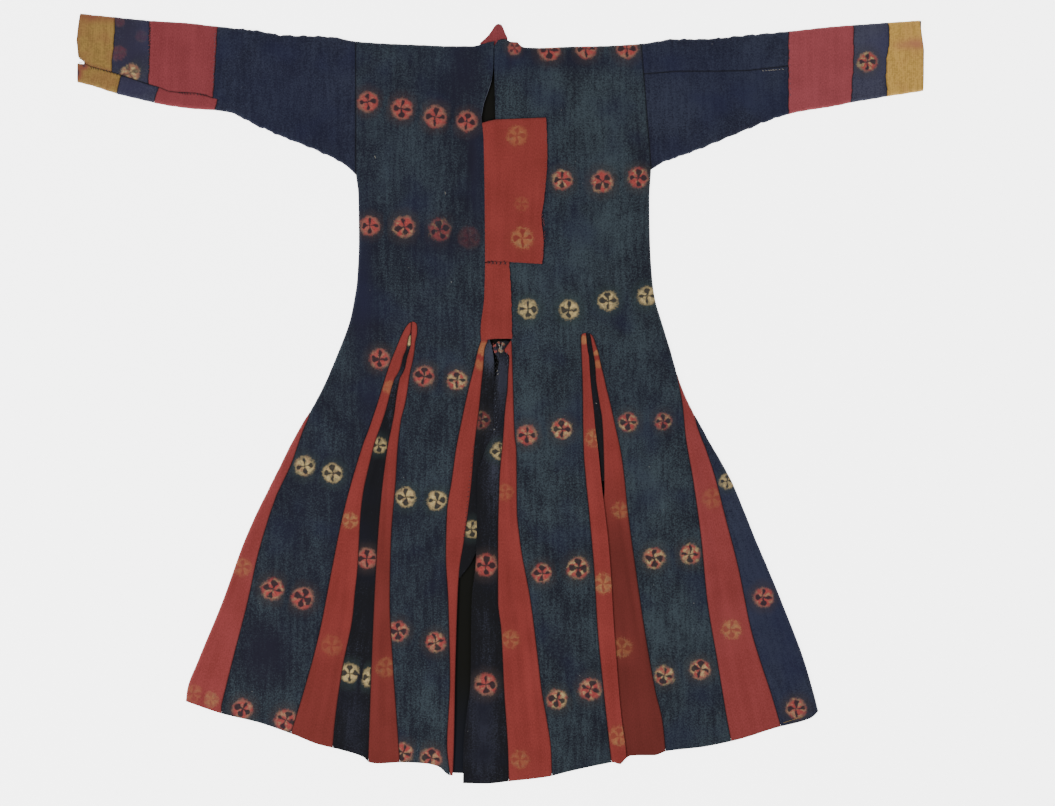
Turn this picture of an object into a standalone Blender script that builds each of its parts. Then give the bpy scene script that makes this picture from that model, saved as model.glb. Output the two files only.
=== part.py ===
"""A woollen robe laid flat on its back, its sleeves spread and its front uppermost.

All sizes are in millimetres. A place on the cloth is given as a tailor would give it: "across"
runs to the right from the centre of the front, and "down" runs from the shoulder line to the
hem. Left and right are as the front is seen from above. The back lies flat on the surface. The
front lies on the back and rolls down round it where the cloth is folded: along the shoulders,
the sleeves and the sides. The hem, the cuffs, the neck and the front edges are free edges.
"""

import bpy
import numpy as np

METRES = 0.001

# Cloth
WALL = 2.0
SEAM_GAP = 0.3
LAYER_GAP = 0.4
LIFT = WALL + LAYER_GAP

# Height of the front above the surface: at a fold, over the body, and at a free edge
FOLD_HEIGHT = 7.0
FOLD_RADIUS = 7.0
FOLD_REACH = 25.0
BODY_HEIGHT = 5.8
EDGE_HEIGHT = 4.9
EDGE_REACH = 80.0
NECK_RISE = 1.4
NECK_REACH = 40.0

# How far the back stays inside the folds, and inside the free edges
BACK_INSET = 4.4
WAVE_INSET = 5.0
BACK_SHORT = 4.0
CUFF_SHORT = 14.0

# Puckers along the edges of the dark sleeves
PUCKER_LENGTH = 29.0
PUCKER_DEPTH = 1.3

# Middle of the robe's width and length, from the centre of the front and the shoulder line
MIDDLE_ACROSS = 0.8
MIDDLE_DOWN = 600.7

# Rows of points
ROLL_ANGLES = np.radians([0, 30, 60, 90])
ROLL = FOLD_RADIUS * (1 - np.cos(ROLL_ANGLES))
NARROW_PARTS = np.array([0, 0.2, 0.45, 0.7])
SKIRT_STEP = 50.0
SAME_ROW = 0.012

# Colours, linear
COLOURS = {
    "indigo": (0.024, 0.031, 0.048),
    "madder": (0.262, 0.042, 0.032),
    "yellow": (0.440, 0.290, 0.100),
}


def table(columns, *rows):
    """A small table: one named array for each column."""
    return dict(zip(columns.split(), np.array(rows, float).T))


def smooth(known, values, at):
    """A smooth curve through the known values: cubic between them, level beyond the ends."""
    at = np.clip(at, known[0], known[-1])
    step = np.diff(known)
    rise = np.diff(values) / step
    slope = np.empty_like(values)
    slope[0] = rise[0]
    slope[-1] = rise[-1]
    slope[1:-1] = (rise[:-1] * step[1:] + rise[1:] * step[:-1]) / (step[1:] + step[:-1])
    place = np.clip(np.searchsorted(known, at, side="right") - 1, 0, len(step) - 1)
    width = step[place]
    t = (at - known[place]) / width
    start = values[place] * (1 + 2 * t) * (1 - t) ** 2 + slope[place] * width * t * (1 - t) ** 2
    end = values[place + 1] * t**2 * (3 - 2 * t) - slope[place + 1] * width * t**2 * (1 - t)
    return start + end


def ramp(t):
    """Rises softly from 0 to 1 as t goes from 0 to 1."""
    t = np.clip(t, 0, 1)
    return t * t * (3 - 2 * t)


class Half:
    """The outline of one half of the robe, which every piece of that half shares."""

    def __init__(self, way, top, hem, fold, armhole, neck, bottom, puckers, rows):
        self.way = way
        self.top_line = top
        self.hem_line = hem
        self.fold = fold
        self.armhole_line = armhole
        self.neck = neck
        self.bottom_line = bottom
        self.puckers = puckers
        self.sleeve_rows = rows
        self.underarm = armhole["down"][1]
        self.shares = None

    def pucker(self, across, lag):
        start, end = self.puckers
        inside = ramp((across - start) / 20) * ramp((end - across) / 20)
        turns = 2 * np.pi * (across - start) / PUCKER_LENGTH + lag
        return PUCKER_DEPTH * inside * np.sin(turns + 1.1 * np.sin(0.31 * turns))

    def top(self, across):
        line = smooth(self.top_line["across"], self.top_line["down"], across)
        return line + self.pucker(across, 0.0)

    def bottom(self, across):
        line = smooth(self.bottom_line["across"], self.bottom_line["down"], across)
        return line + self.pucker(across, 2.0)

    def hem(self, across):
        return smooth(self.hem_line["across"], self.hem_line["down"], across)

    def armhole(self, down):
        return np.interp(down, self.armhole_line["down"], self.armhole_line["across"])

    def share(self, down, across):
        """How far a place lies along its way from the shoulder line, 0, to the hem, 1."""
        top = self.top(across)
        return (down - top) / (self.hem(across) - top)

    def down(self, share, across):
        top = self.top(across)
        return top + share * (self.hem(across) - top)

    def line(self, seam, share):
        """Across of a seam, whose table has columns down and across, at the given shares."""
        known = self.share(seam["down"], seam["across"])
        return smooth(known, seam["across"], share)

    def armhole_points(self):
        """Down and across of the points at which sleeve and body are sewn together."""
        across = self.armhole_line["across"][0]
        for _ in range(4):
            down = np.diagonal(self.sleeve_rows(self, np.broadcast_to(across, len(ROWS_PROBE))))
            across = self.armhole(down)
        return down, across

    def set_rows(self, starts):
        """Shares of the rows of the body: the armhole's, then even steps, with the starts added."""
        down, across = self.armhole_points()
        arm = self.share(down, across)
        count = int((self.hem(0.0) - self.underarm) / SKIRT_STEP)
        even = np.linspace(arm[-1], 1, count)[1:]
        starts = np.array(sorted({round(float(s), 5) for s in starts}))
        far = np.abs(even[:, None] - starts[None, :]).min(axis=1) > SAME_ROW
        self.shares = np.sort(np.concatenate([arm, even[far], starts]))


# The left half
LEFT_TOP = table(
    "across down",
    (-721, -54), (-677, -49), (-595, -41), (-534, -37), (-493, -32), (-411, -24), (-371, -17),
    (-289, -14), (-245, -6), (-187, -2), (-136, 0), (-85, 2), (-43, 2), (-20, -3.5), (-6, -6),
)
LEFT_BOTTOM = table(
    "across down",
    (-721, 63), (-677, 73), (-636, 85), (-595, 95), (-554, 104), (-513, 109), (-473, 112),
    (-452, 116), (-411, 138), (-371, 156), (-330, 172), (-289, 190), (-262, 205), (-245, 221),
)
LEFT_HEM = table(
    "across down",
    (-534, 1115), (-473, 1136), (-411, 1151), (-350, 1173), (-269, 1197), (-232, 1210),
    (-222, 1219), (-207, 1220), (-167, 1219), (-126, 1221), (-105, 1226), (-85, 1240), (-60, 1242),
)
LEFT_FOLD = table(
    "down across",
    (221, -245), (255, -241), (332, -240), (400, -243), (434, -248), (468, -255), (510, -270),
    (587, -303), (663, -347), (740, -386), (842, -434), (944, -471), (1046, -513), (1097, -532),
    (1115, -534),
)
LEFT_ARMHOLE = table("down across", (-6, -245), (221, -245))

# The right half
RIGHT_TOP = table(
    "across down",
    (-10, 3), (-2, -8), (12, -9), (18, -3), (33, 3), (68, 5), (119, 3), (170, 2), (240, -2),
    (299, -10), (340, -10), (422, -17), (490, -23), (564, -31), (646, -37), (721, -42),
)
RIGHT_BOTTOM = table(
    "across down",
    (257, 212), (279, 199), (299, 192), (340, 177), (381, 160), (422, 143), (462, 127),
    (503, 115), (564, 105), (605, 97), (646, 90), (721, 78),
)
RIGHT_HEM = table(
    "across down",
    (-64, 1254), (-24, 1255), (17, 1251), (78, 1244), (119, 1234), (180, 1221), (192, 1219),
    (204, 1222), (213, 1213), (221, 1208), (240, 1207), (262, 1207), (283, 1200), (343, 1193),
    (405, 1180), (466, 1161), (527, 1144), (541, 1132),
)
RIGHT_FOLD = table(
    "down across",
    (212, 257), (264, 254), (332, 255), (400, 259), (434, 264), (468, 274), (510, 287),
    (587, 311), (663, 350), (740, 393), (842, 435), (944, 478), (1046, 517), (1097, 532),
    (1132, 541),
)
RIGHT_ARMHOLE = table("down across", (-2, 240), (212, 257))
RIGHT_PIECING = table("across down", (240, 50), (303, 45), (368, 45), (420, 44), (490, 36))

# Edges of the opening down the front
LEFT_EDGE = table(
    "down across",
    (-8, -9.5), (3, -11.5), (11, -12), (40, -12.2), (78, -19), (100, -27), (122, -31), (160, -28),
    (280, -26), (372, -25.5), (430, -27), (486, -33), (505, -32),
)
RIGHT_EDGE = table(
    "down across",
    (3, -9.5), (40, -9.3), (120, -8), (250, -5), (372, 0), (430, 4), (480, 13), (505, 20),
)

# Seams of the skirt, from left to right
SIDE_LEFT = table(
    "down across",
    (620, -321.5), (636, -326), (663, -337), (714, -355), (765, -379), (867, -411), (944, -428),
    (1046, -454), (1122, -473),
)
A_LEFT = table(
    "down across",
    (470, -151), (480, -161), (510, -172), (587, -204), (689, -236), (791, -265), (893, -286),
    (995, -306), (1097, -333), (1175, -357),
)
A_DARK_LEFT = table(
    "down across",
    (480, -151.5), (490, -152), (502, -153), (510, -161), (587, -186), (689, -216), (791, -236),
    (893, -242), (930, -246), (972, -250), (1023, -260), (1046, -265), (1148, -280),
    (1192, -284),
)
A_DARK_RIGHT = table(
    "down across",
    (480, -151.5), (490, -151.4), (502, -151), (587, -173), (689, -192), (791, -204),
    (893, -211), (1046, -218), (1216, -224),
)
A_RIGHT = table(
    "down across",
    (470, -151), (480, -142), (510, -146), (587, -161), (638, -171), (740, -177), (842, -185),
    (944, -187), (1046, -182), (1148, -175), (1219, -170),
)
B_LEFT = table(
    "down across",
    (505, -32), (536, -42), (587, -54), (638, -65), (689, -75), (740, -82), (791, -90),
    (867, -92), (944, -88), (1080, -85), (1190, -90), (1240, -85),
)
B_LEFT_DARK = table(
    "down across",
    (505, -25), (536, -30.5), (587, -36), (638, -41), (689, -44), (740, -48), (791, -54),
    (842, -61), (893, -69), (944, -72), (1080, -76), (1190, -78), (1240, -80),
)
B_LEFT_END = table(
    "down across",
    (505, -13.6), (553, -6), (587, -7), (604, -3), (655, -3), (689, -12), (723, -25),
    (784, -30), (842, -34), (878, -48), (905, -67.5),
)
B_OVERLAP = table(
    "down across",
    (524, 0), (549, -3), (577, -9), (604, -11), (646, -11), (668, -15), (685, -24), (706, -31),
    (723, -37), (757, -39), (786, -39), (876, -41), (944, -48), (1080, -50), (1148, -58),
    (1190, -62), (1254, -63),
)
B_RIGHT_DARK = table(
    "down across",
    (510, 14), (587, 12), (663, 6), (740, -1), (842, -3.5), (944, -3.5), (995, 2), (1097, 7),
    (1199, 13.5), (1250, 15),
)
B_RIGHT = table(
    "down across",
    (505, 20), (587, 22.5), (663, 25), (689, 28), (791, 29), (842, 34), (944, 52), (1046, 65),
    (1097, 71), (1148, 80), (1199, 87), (1245, 88.5),
)
C_LEFT = table(
    "down across",
    (481, 146), (491, 138), (587, 140), (689, 142), (740, 146), (791, 151), (893, 160),
    (995, 166), (1097, 176), (1199, 187), (1225, 190),
)
C_DARK_LEFT = table(
    "down across",
    (491, 145), (536, 151), (587, 155), (638, 162), (689, 167), (740, 172), (791, 178),
    (842, 184), (893, 188), (995, 194), (1046, 198), (1097, 202), (1148, 207), (1199, 214),
    (1213, 215),
)
C_DARK_RIGHT = table(
    "down across",
    (491, 151), (536, 160), (587, 166), (638, 172), (689, 176), (740, 177), (758, 177),
    (791, 170), (842, 170), (944, 177), (1046, 185), (1199, 199), (1213, 201),
)
C_RIGHT = table(
    "down across",
    (481, 146), (491, 154), (536, 168), (587, 182), (638, 194), (689, 205), (740, 212),
    (791, 217), (893, 231), (995, 246), (1097, 264), (1148, 276), (1204, 282),
)
SIDE_RIGHT = table(
    "down across",
    (552, 298.5), (612, 310), (663, 315), (740, 328), (842, 342), (944, 352), (1046, 369),
    (1148, 386), (1185, 393),
)
SIDE_RIGHT_DARK = table(
    "down across",
    (595, 313.5), (638, 326), (689, 345), (740, 365), (791, 379), (893, 406), (995, 427),
    (1046, 442), (1097, 459), (1160, 478),
)

# Shares of a sleeve's rows between the rolled edges, and the jog in the left sleeve's seam
LEFT_ROWS = np.array([0, 0.22, 0.44, 0.66, 0.885, 0.892, 1])
LEFT_JOG_ROW = len(ROLL) + 3
RIGHT_UPPER_ROWS = 3
RIGHT_LOWER_ROWS = 5
ROWS_PROBE = range(len(ROLL) * 2 + 5)


def left_sleeve_rows(half, across):
    """Down of each row of the left sleeve: rolled edge, even rows, rolled edge."""
    top = half.top(across)
    bottom = half.bottom(across)
    start = top + ROLL[-1]
    middle = start + LEFT_ROWS[:, None] * (bottom - ROLL[-1] - start)
    return np.vstack([top + ROLL[:-1, None], middle, bottom - ROLL[-2::-1, None]])


def right_sleeve_rows(half, across):
    """Down of each row of the right sleeve, one of which is the seam it is pieced along."""
    top = half.top(across)
    bottom = half.bottom(across)
    seam = np.interp(across, RIGHT_PIECING["across"], RIGHT_PIECING["down"])
    start = top + ROLL[-1]
    end = bottom - ROLL[-1]
    upper = start + np.linspace(0, 1, RIGHT_UPPER_ROWS)[:, None] * (seam - start)
    lower = seam + np.linspace(0, 1, RIGHT_LOWER_ROWS)[1:, None] * (end - seam)
    return np.vstack([top + ROLL[:-1, None], upper, lower, bottom - ROLL[-2::-1, None]])


LEFT = Half(-1, LEFT_TOP, LEFT_HEM, LEFT_FOLD, LEFT_ARMHOLE, -43.0, LEFT_BOTTOM,
            (-470.0, -262.0), left_sleeve_rows)
RIGHT = Half(1, RIGHT_TOP, RIGHT_HEM, RIGHT_FOLD, RIGHT_ARMHOLE, 33.0, RIGHT_BOTTOM,
             (262.0, 488.0), right_sleeve_rows)


def material(name, colour):
    made = bpy.data.materials.new(name)
    made.use_nodes = True
    shader = made.node_tree.nodes["Principled BSDF"]
    shader.inputs["Base Color"].default_value = (*COLOURS[colour], 1)
    shader.inputs["Roughness"].default_value = 0.92
    shader.inputs["Metallic"].default_value = 0.0
    return made


def clear_scene():
    for old in list(bpy.data.objects):
        bpy.data.objects.remove(old, do_unlink=True)


clear_scene()
ROBE = bpy.data.objects.new("robe", None)
ROBE.location = (-MIDDLE_ACROSS * METRES, MIDDLE_DOWN * METRES, 0)
bpy.context.scene.collection.objects.link(ROBE)


def wall_object(name, outer, inner, quads, colour):
    """A closed wall between an outer and an inner set of points that share their quads."""
    quads = np.asarray(quads)
    count = len(outer)
    edges = np.concatenate([quads[:, [k, (k + 1) % 4]] for k in range(4)])
    known = {(int(a), int(b)) for a, b in edges}
    rim = []
    for a, b in sorted(known):
        if (b, a) in known:
            continue
        if outer[a, 1] > outer[b, 1]:
            rim += [(b, a, a + count), (b, a + count, b + count)]
        else:
            rim += [(b, a, b + count), (a, a + count, b + count)]
    faces = [tuple(map(int, q)) for q in quads]
    faces += [tuple(int(k) + count for k in q[::-1]) for q in quads]
    points = np.vstack([outer, inner]) * METRES
    mesh = bpy.data.meshes.new(name)
    mesh.from_pydata(points.tolist(), [], faces + rim)
    mesh.materials.append(material(name, colour))
    mesh.shade_smooth()
    mesh.set_sharp_from_angle(angle=np.radians(50))
    made = bpy.data.objects.new(name, mesh)
    made.parent = ROBE
    bpy.context.scene.collection.objects.link(made)
    return made


def grid_quads(index):
    """Quads of a grid of point numbers, whose rows run down and whose columns run across."""
    corners = (index[:-1, :-1], index[1:, :-1], index[1:, 1:], index[:-1, 1:])
    return np.stack([c.ravel() for c in corners], axis=1)


def points_of(across, down, height):
    """Points in the frame of the robe: x to the right, y towards the shoulders, z up."""
    return np.stack(np.broadcast_arrays(across, -down, height), axis=-1).reshape(-1, 3)


def fold_terms(distance):
    """Cosine and sine of the roll at this distance in from a fold, and how near the fold is."""
    cosine = np.clip(1 - distance / FOLD_RADIUS, 0, 1)
    near = np.exp(-((np.maximum(distance - FOLD_RADIUS, 0) / FOLD_REACH) ** 2))
    return cosine, np.sqrt(1 - cosine**2), near


def rolled(folds, base):
    """Height of the outer side and the way to the inner side, for folds given as
    (distance, inward across, inward down)."""
    sines = 1.0
    near = 0.0
    inward_across = 0.0
    inward_down = 0.0
    for distance, across, down in folds:
        cosine, sine, closeness = fold_terms(distance)
        sines = sines * sine
        near = np.maximum(near, closeness)
        inward_across = inward_across + cosine * across
        inward_down = inward_down + cosine * down
    height = sines * (base + np.maximum(FOLD_HEIGHT - base, 0) * near)
    return height, WALL * inward_across, WALL * inward_down, -WALL * sines


def body_front(half, share, across):
    """Outer and inner points of the front of the body at these shares and across."""
    down = half.down(share, across)
    edge = half.line(half.fold, share)
    below = down >= half.underarm - 0.01
    arm_across = half.way * (half.armhole(down) - across)
    arm_down = np.maximum(half.underarm - down, 0)
    arm = np.hypot(arm_across, arm_down)
    side = np.where(below, half.way * (edge - across), arm)
    safe = np.maximum(arm, 1e-9)
    corner = (np.abs(arm_across) < 0.02) & (np.abs(down - half.underarm) < 0.02)
    side_across = np.where(below, -half.way, -half.way * arm_across / safe)
    side_across = np.where(corner, 0.0, side_across)
    side_down = np.where(below, np.where(corner, -1.0, 0.0), -arm_down / safe)
    top = down - half.top(across)
    past = np.maximum(half.way * (half.neck - across), 0)
    neck = np.hypot(top, past)
    safe = np.maximum(neck, 1e-9)
    neck_across = np.where(past > 0, -half.way * past / safe, 0.0)
    neck_down = np.where(past > 0, top / safe, 1.0)
    to_hem = half.hem(across) - down
    base = EDGE_HEIGHT + (BODY_HEIGHT - EDGE_HEIGHT) * ramp(to_hem / EDGE_REACH)
    base = base + NECK_RISE * np.exp(-((np.hypot(across, down) / NECK_REACH) ** 2))
    folds = [(side, side_across, side_down), (neck, neck_across, neck_down)]
    height, inward_across, inward_down, fall = rolled(folds, base)
    outer = points_of(across, down, height)
    inner = points_of(across + inward_across, down + inward_down, height + fall)
    return outer, inner


def raised(points, lift):
    """The same points, lifted."""
    return points + np.ravel(lift)[:, None] * np.array([0, 0, 1])


def columns(left, right, count, fold):
    """Across of the columns of each row from left to right, closer together at a fold, which
    lies at the left for -1 and at the right for 1. count may be the parts of the width."""
    width = (right - left)[:, None]
    even = np.linspace(0, 1, count) if isinstance(count, int) else np.array(count)
    if fold == 0:
        return left[:, None] + width * even
    wide = np.minimum(1, width / (3 * FOLD_RADIUS))
    roll = ROLL * wide + NARROW_PARTS * width * (1 - wide)
    rest = roll[:, -1:] + (width - roll[:, -1:]) * even[1:]
    steps = np.hstack([roll, rest])
    if fold < 0:
        return left[:, None] + steps
    return (right[:, None] - steps)[:, ::-1]


def rows_from(half, start, end=1.0):
    """Shares of the body's rows from a start to an end."""
    return half.shares[(half.shares >= start - 1e-4) & (half.shares <= end + 1e-4)]


def start_share(half, seam):
    """Share of the first row of a seam's table."""
    return float(half.share(seam["down"][0], seam["across"][0]))


def body_edge(half, share):
    """Across of the body's outer edge: the armhole above the underarm, the fold below it."""
    down, across = half.armhole_points()
    arm = half.share(down, across)
    return np.where(share <= arm[-1], np.interp(share, arm, across), half.line(half.fold, share))


def slit_cloth(name, half, share, blocks, slit, surface, colour):
    """A piece in two blocks of columns, which share a column in the rows above the slit."""
    counts = [block.shape[1] for block in blocks]
    rows = len(share)
    left = np.arange(rows * counts[0]).reshape(rows, counts[0])
    right = left.size + np.arange(rows * counts[1]).reshape(rows, counts[1])
    joined = right.copy()
    joined[~slit, 0] = left[~slit, -1]
    quads = np.vstack([grid_quads(left), grid_quads(joined)])
    across = np.concatenate([block.ravel() for block in blocks])
    shares = np.concatenate([np.repeat(share, count) for count in counts])
    outer, inner = surface(half, shares, across)
    used = np.unique(quads)
    renumber = np.zeros(len(across), int)
    renumber[used] = np.arange(len(used))
    return wall_object(name, outer[used], inner[used], renumber[quads], colour)


# Parts of the width of a front between its edge and the gore, closer together at the neck
NECK_PARTS = np.array([0, 0.155, 0.222, 0.276, 0.52, 0.76, 1])


def front_half(name, half, middle, outer_seam, slit_outer, slit_inner, colour):
    """One half of the front: a loom width from the shoulder to the hem, slit from the hem up
    to the point of the gores. middle is the edge of the front opening, then a gore's seam."""
    share = half.shares
    first, second = middle
    centre = np.where(share < start_share(half, second), half.line(first, share),
                      half.line(second, share) + half.way * SEAM_GAP / 2)
    side = body_edge(half, share)
    sewn = share <= half.share(half.underarm, half.armhole_line["across"][1]) + 1e-6
    side = np.where(sewn, side - half.way * SEAM_GAP / 2, side)
    seam = half.line(outer_seam, share) - half.way * SEAM_GAP / 2
    side = np.where(share > start_share(half, outer_seam), seam, side)
    tip = slit_outer["across"][0]
    slit = share > start_share(half, slit_outer) + 1e-4
    outer_slit = np.where(slit, half.line(slit_outer, share) + half.way * SEAM_GAP / 2, tip)
    inner_slit = np.where(slit, half.line(slit_inner, share) - half.way * SEAM_GAP / 2, tip)
    if half.way < 0:
        blocks = [columns(side, outer_slit, 4, -1),
                  columns(inner_slit, centre, 1 - NECK_PARTS[::-1], 0)]
    else:
        blocks = [columns(centre, inner_slit, NECK_PARTS, 0), columns(outer_slit, side, 4, 1)]
    return slit_cloth(name, half, share, blocks, slit, body_front, colour)


def front_gore(name, half, left, right, colour, start=None, end=1.0, fold=0, count=3, lift=None):
    """A piece of the front between two seams, from the start row to the hem. left and right
    are seam tables, or functions that give across at the shares."""
    share = rows_from(half, start, end)
    sides = []
    for seam, way in ((left, 1), (right, -1)):
        if callable(seam):
            sides.append(seam(share))
        else:
            sides.append(half.line(seam, share) + way * SEAM_GAP / 2)
    across = columns(sides[0], sides[1], count, fold)
    shares = np.broadcast_to(share[:, None], across.shape)
    outer, inner = body_front(half, shares, across)
    if lift is not None:
        height = lift(shares, across)
        outer = raised(outer, height)
        inner = raised(inner, height)
    index = np.arange(across.size).reshape(across.shape)
    return wall_object(name, outer, inner, grid_quads(index), colour)


# Shares at which the pieces of the skirt begin
LEFT_STARTS = {
    "side red": LEFT.share(637.0, -330.0),
    "side seam": start_share(LEFT, SIDE_LEFT),
    "a point": start_share(LEFT, A_LEFT),
    "a red": LEFT.share(480.0, -151.5),
    "a dark": LEFT.share(502.0, -152.0),
    "b": start_share(LEFT, B_LEFT),
    "b dark end": LEFT.share(905.0, -67.0),
    "flap top": LEFT.share(133.0, -30.0),
    "flap bottom": LEFT.share(369.5, -25.5),
    "strip bottom": LEFT.share(500.0, -32.5),
}
RIGHT_STARTS = {
    "side seam": start_share(RIGHT, SIDE_RIGHT),
    "side red": RIGHT.share(560.0, 301.0),
    "side dark seam": start_share(RIGHT, SIDE_RIGHT_DARK),
    "side dark": RIGHT.share(624.0, 325.0),
    "c point": start_share(RIGHT, C_LEFT),
    "c": RIGHT.share(491.0, 146.0),
    "c dark end": RIGHT.share(741.0, 175.0),
    "c under": RIGHT.share(758.0, 177.0),
    "b": start_share(RIGHT, B_RIGHT),
    "b overlap": start_share(RIGHT, B_OVERLAP),
}
LEFT.set_rows(LEFT_STARTS.values())
RIGHT.set_rows(RIGHT_STARTS.values())


def make_body_front():
    front_half("front_left", LEFT, (LEFT_EDGE, B_LEFT), SIDE_LEFT, A_LEFT, A_RIGHT, "indigo")
    front_half("front_right", RIGHT, (RIGHT_EDGE, B_RIGHT), SIDE_RIGHT, C_RIGHT, C_LEFT, "indigo")


def left_fold(share):
    return LEFT.line(LEFT_FOLD, share)


def right_fold(share):
    return RIGHT.line(RIGHT_FOLD, share)


def side_red_right_edge(share):
    """The fold until the dark gore begins, then the seam to it."""
    seam = RIGHT.line(SIDE_RIGHT_DARK, share) - SEAM_GAP / 2
    return np.where(share <= RIGHT_STARTS["side dark seam"] + 1e-4, right_fold(share), seam)


def fold_over_lift(share, across):
    """The right insertion's first strip rises towards its right edge, which laps over."""
    left = RIGHT.line(C_LEFT, share)
    right = RIGHT.line(C_DARK_LEFT, share)
    lapping = ramp((share - 0.52) / 0.07)
    return LIFT * lapping * ramp(2.0 * (across - left) / (right - left))


def overlap_lift(share, across):
    """The right front's dark gore rises towards its free left edge, which laps over."""
    seam = RIGHT.line(B_RIGHT_DARK, share)
    edge = RIGHT.line(B_OVERLAP, share) + 9
    return LIFT * ramp((seam - across) / np.maximum(seam - edge, 3))


def make_gores():
    """The gores let into the skirt, from left to right."""
    start = LEFT_STARTS
    front_gore("side_left_red", LEFT, left_fold, SIDE_LEFT, "madder",
               start=start["side red"], fold=-1, count=3)
    front_gore("gore_left_red_1", LEFT, A_LEFT, A_DARK_LEFT, "madder", start=start["a red"])
    front_gore("gore_left_dark", LEFT, A_DARK_LEFT, A_DARK_RIGHT, "indigo",
               start=start["a dark"])
    front_gore("gore_left_red_2", LEFT, A_DARK_RIGHT, A_RIGHT, "madder", start=start["a red"])
    front_gore("gore_centre_red_1", LEFT, B_LEFT, B_LEFT_DARK, "madder", start=start["b"])
    front_gore("gore_centre_dark_1", LEFT, B_LEFT_DARK, B_LEFT_END, "indigo",
               start=start["b"], end=start["b dark end"])
    start = RIGHT_STARTS
    front_gore("gore_centre_dark_2", RIGHT, B_OVERLAP, B_RIGHT_DARK, "indigo",
               start=start["b overlap"], count=5, lift=overlap_lift)
    front_gore("gore_centre_red_2", RIGHT, B_RIGHT_DARK, B_RIGHT, "madder",
               start=start["b overlap"])
    front_gore("gore_right_red_1", RIGHT, C_LEFT, C_DARK_LEFT, "madder",
               start=start["c"], count=5, lift=fold_over_lift)
    front_gore("gore_right_dark", RIGHT, C_DARK_LEFT, C_DARK_RIGHT, "indigo",
               start=start["c"], end=start["c dark end"])
    front_gore("gore_right_red_2", RIGHT, C_DARK_RIGHT, C_RIGHT, "madder", start=start["c"])
    front_gore("side_right_red", RIGHT, SIDE_RIGHT, side_red_right_edge, "madder",
               start=start["side red"], count=4)
    front_gore("side_right_dark", RIGHT, SIDE_RIGHT_DARK, right_fold, "indigo",
               start=start["side dark"], fold=1, count=3)


# The flap at the breast and the strip below it lie over the right front
FLAP_RIGHT = table(
    "down across",
    (121, 78), (194, 80.5), (267, 75), (299, 70.5), (334, 74), (357, 73.5), (372, 71),
)
STRIP_RIGHT = table("down across", (372, 15.5), (428, 19), (495, 20.5), (502, 20.5))
FLAP_SLANT = 11.0
FLAP_TOP_REACH = 60.0


def lapped_piece(name, right, start, end, slant, count):
    """A piece sewn to the left front's edge that lies over the right front."""
    share = rows_from(LEFT, start, end)
    known = LEFT.share(right["down"], np.full(len(right["down"]), LEFT_EDGE["across"][-1]))
    left_side = LEFT.line(LEFT_EDGE, share) + SEAM_GAP / 2
    if start > LEFT_STARTS["flap top"]:
        share = share.copy()
        share[0] += 0.0004
    right_side = smooth(known, right["across"], share)
    across = columns(left_side, right_side, count, 0)
    shares = np.broadcast_to(share[:, None], across.shape)
    outer, inner = body_front(LEFT, shares, np.minimum(across, -6.0))
    shift = across - np.minimum(across, -6.0)
    part = (across - across[:, :1]) / (across[:, -1:] - across[:, :1])
    rise = slant * part * ramp(1 - (shares - shares[0, 0]) * MIDDLE_DOWN * 2 / FLAP_TOP_REACH)
    move = np.stack([shift, rise, LIFT * ramp((across - across[:, :1]) / 15)], axis=-1)
    index = np.arange(across.size).reshape(across.shape)
    move = move.reshape(-1, 3)
    return wall_object(name, outer + move, inner + move, grid_quads(index), "madder")


def make_lapped_pieces():
    start = LEFT_STARTS
    lapped_piece("breast_flap", FLAP_RIGHT, start["flap top"], start["flap bottom"],
                 FLAP_SLANT, 6)
    lapped_piece("front_strip", STRIP_RIGHT, start["flap bottom"], start["strip bottom"],
                 0.0, 5)


# The neck band, which shows as a peak in two parts
PEAK_LEFT = table("across down", (-34, -3), (-19, -17), (-12, -27), (-7, -33.5), (-3.8, -35))
PEAK_RIGHT = table("across down", (-2.6, -35.3), (2, -34), (5, -30), (9, -20), (13, -12))
BAND_BASE = 5.0
BAND_HEIGHT = 4.5
PEAK_RISE = 4.0


def neck_piece(name, outline, base_down, peak_side):
    """Half of the neck band: from under the front's neck edge up to the outline. It rises
    towards the ridge where the two halves meet."""
    across = outline["across"]
    rows = np.linspace(0, 1, 6)[:, None]
    down = outline["down"] + rows * (base_down - outline["down"])
    wide = np.broadcast_to(across, down.shape)
    ridge = ramp((wide - across[0]) / (across[-1] - across[0]))
    if peak_side < 0:
        ridge = 1 - ridge
    above = ramp((-7 - down) / 14)
    height = BAND_HEIGHT + PEAK_RISE * ridge * above
    outer = points_of(wide, down, height)
    inner = points_of(wide, down, height - WALL)
    index = np.arange(down.size).reshape(down.shape)
    return wall_object(name, outer, inner, grid_quads(index), "madder")


def make_neck_band():
    neck_piece("neck_band_left", PEAK_LEFT, BAND_BASE, 1)
    neck_piece("neck_band_right", PEAK_RIGHT, -3.0, -1)


# Sleeves. The strip under the left arm is sewn on along this line
STRIP_SEAM = table(
    "across down",
    (-721, 27), (-703, 33), (-695, 37), (-660, 47), (-636, 54), (-598, 67), (-580, 72),
    (-563, 79), (-547, 81), (-520, 82), (-500, 86), (-488, 90.5), (-479, 91),
)
LEFT_CUFF = table(
    "down across",
    (-54, -713), (-29, -717), (-7, -719.5), (5, -718), (27, -716), (34, -718.5), (63, -718.5),
)
RIGHT_CUFF = table("down across", (-42, 713), (8, 720.5), (50, 720), (78, 719))
NOTCH = 8.0
UPPER_SLANT = -0.05
STRIP_SLANT = -0.28
COLUMN_STEP = 14.0
PUCKER_STEP = 7.8


def strip_seam(across):
    return np.interp(across, STRIP_SEAM["across"], STRIP_SEAM["down"])


def notch(across):
    """The seam is open for the last bit at the cuff."""
    return NOTCH * np.clip((-703 - across) / 15, 0, 1)


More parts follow.
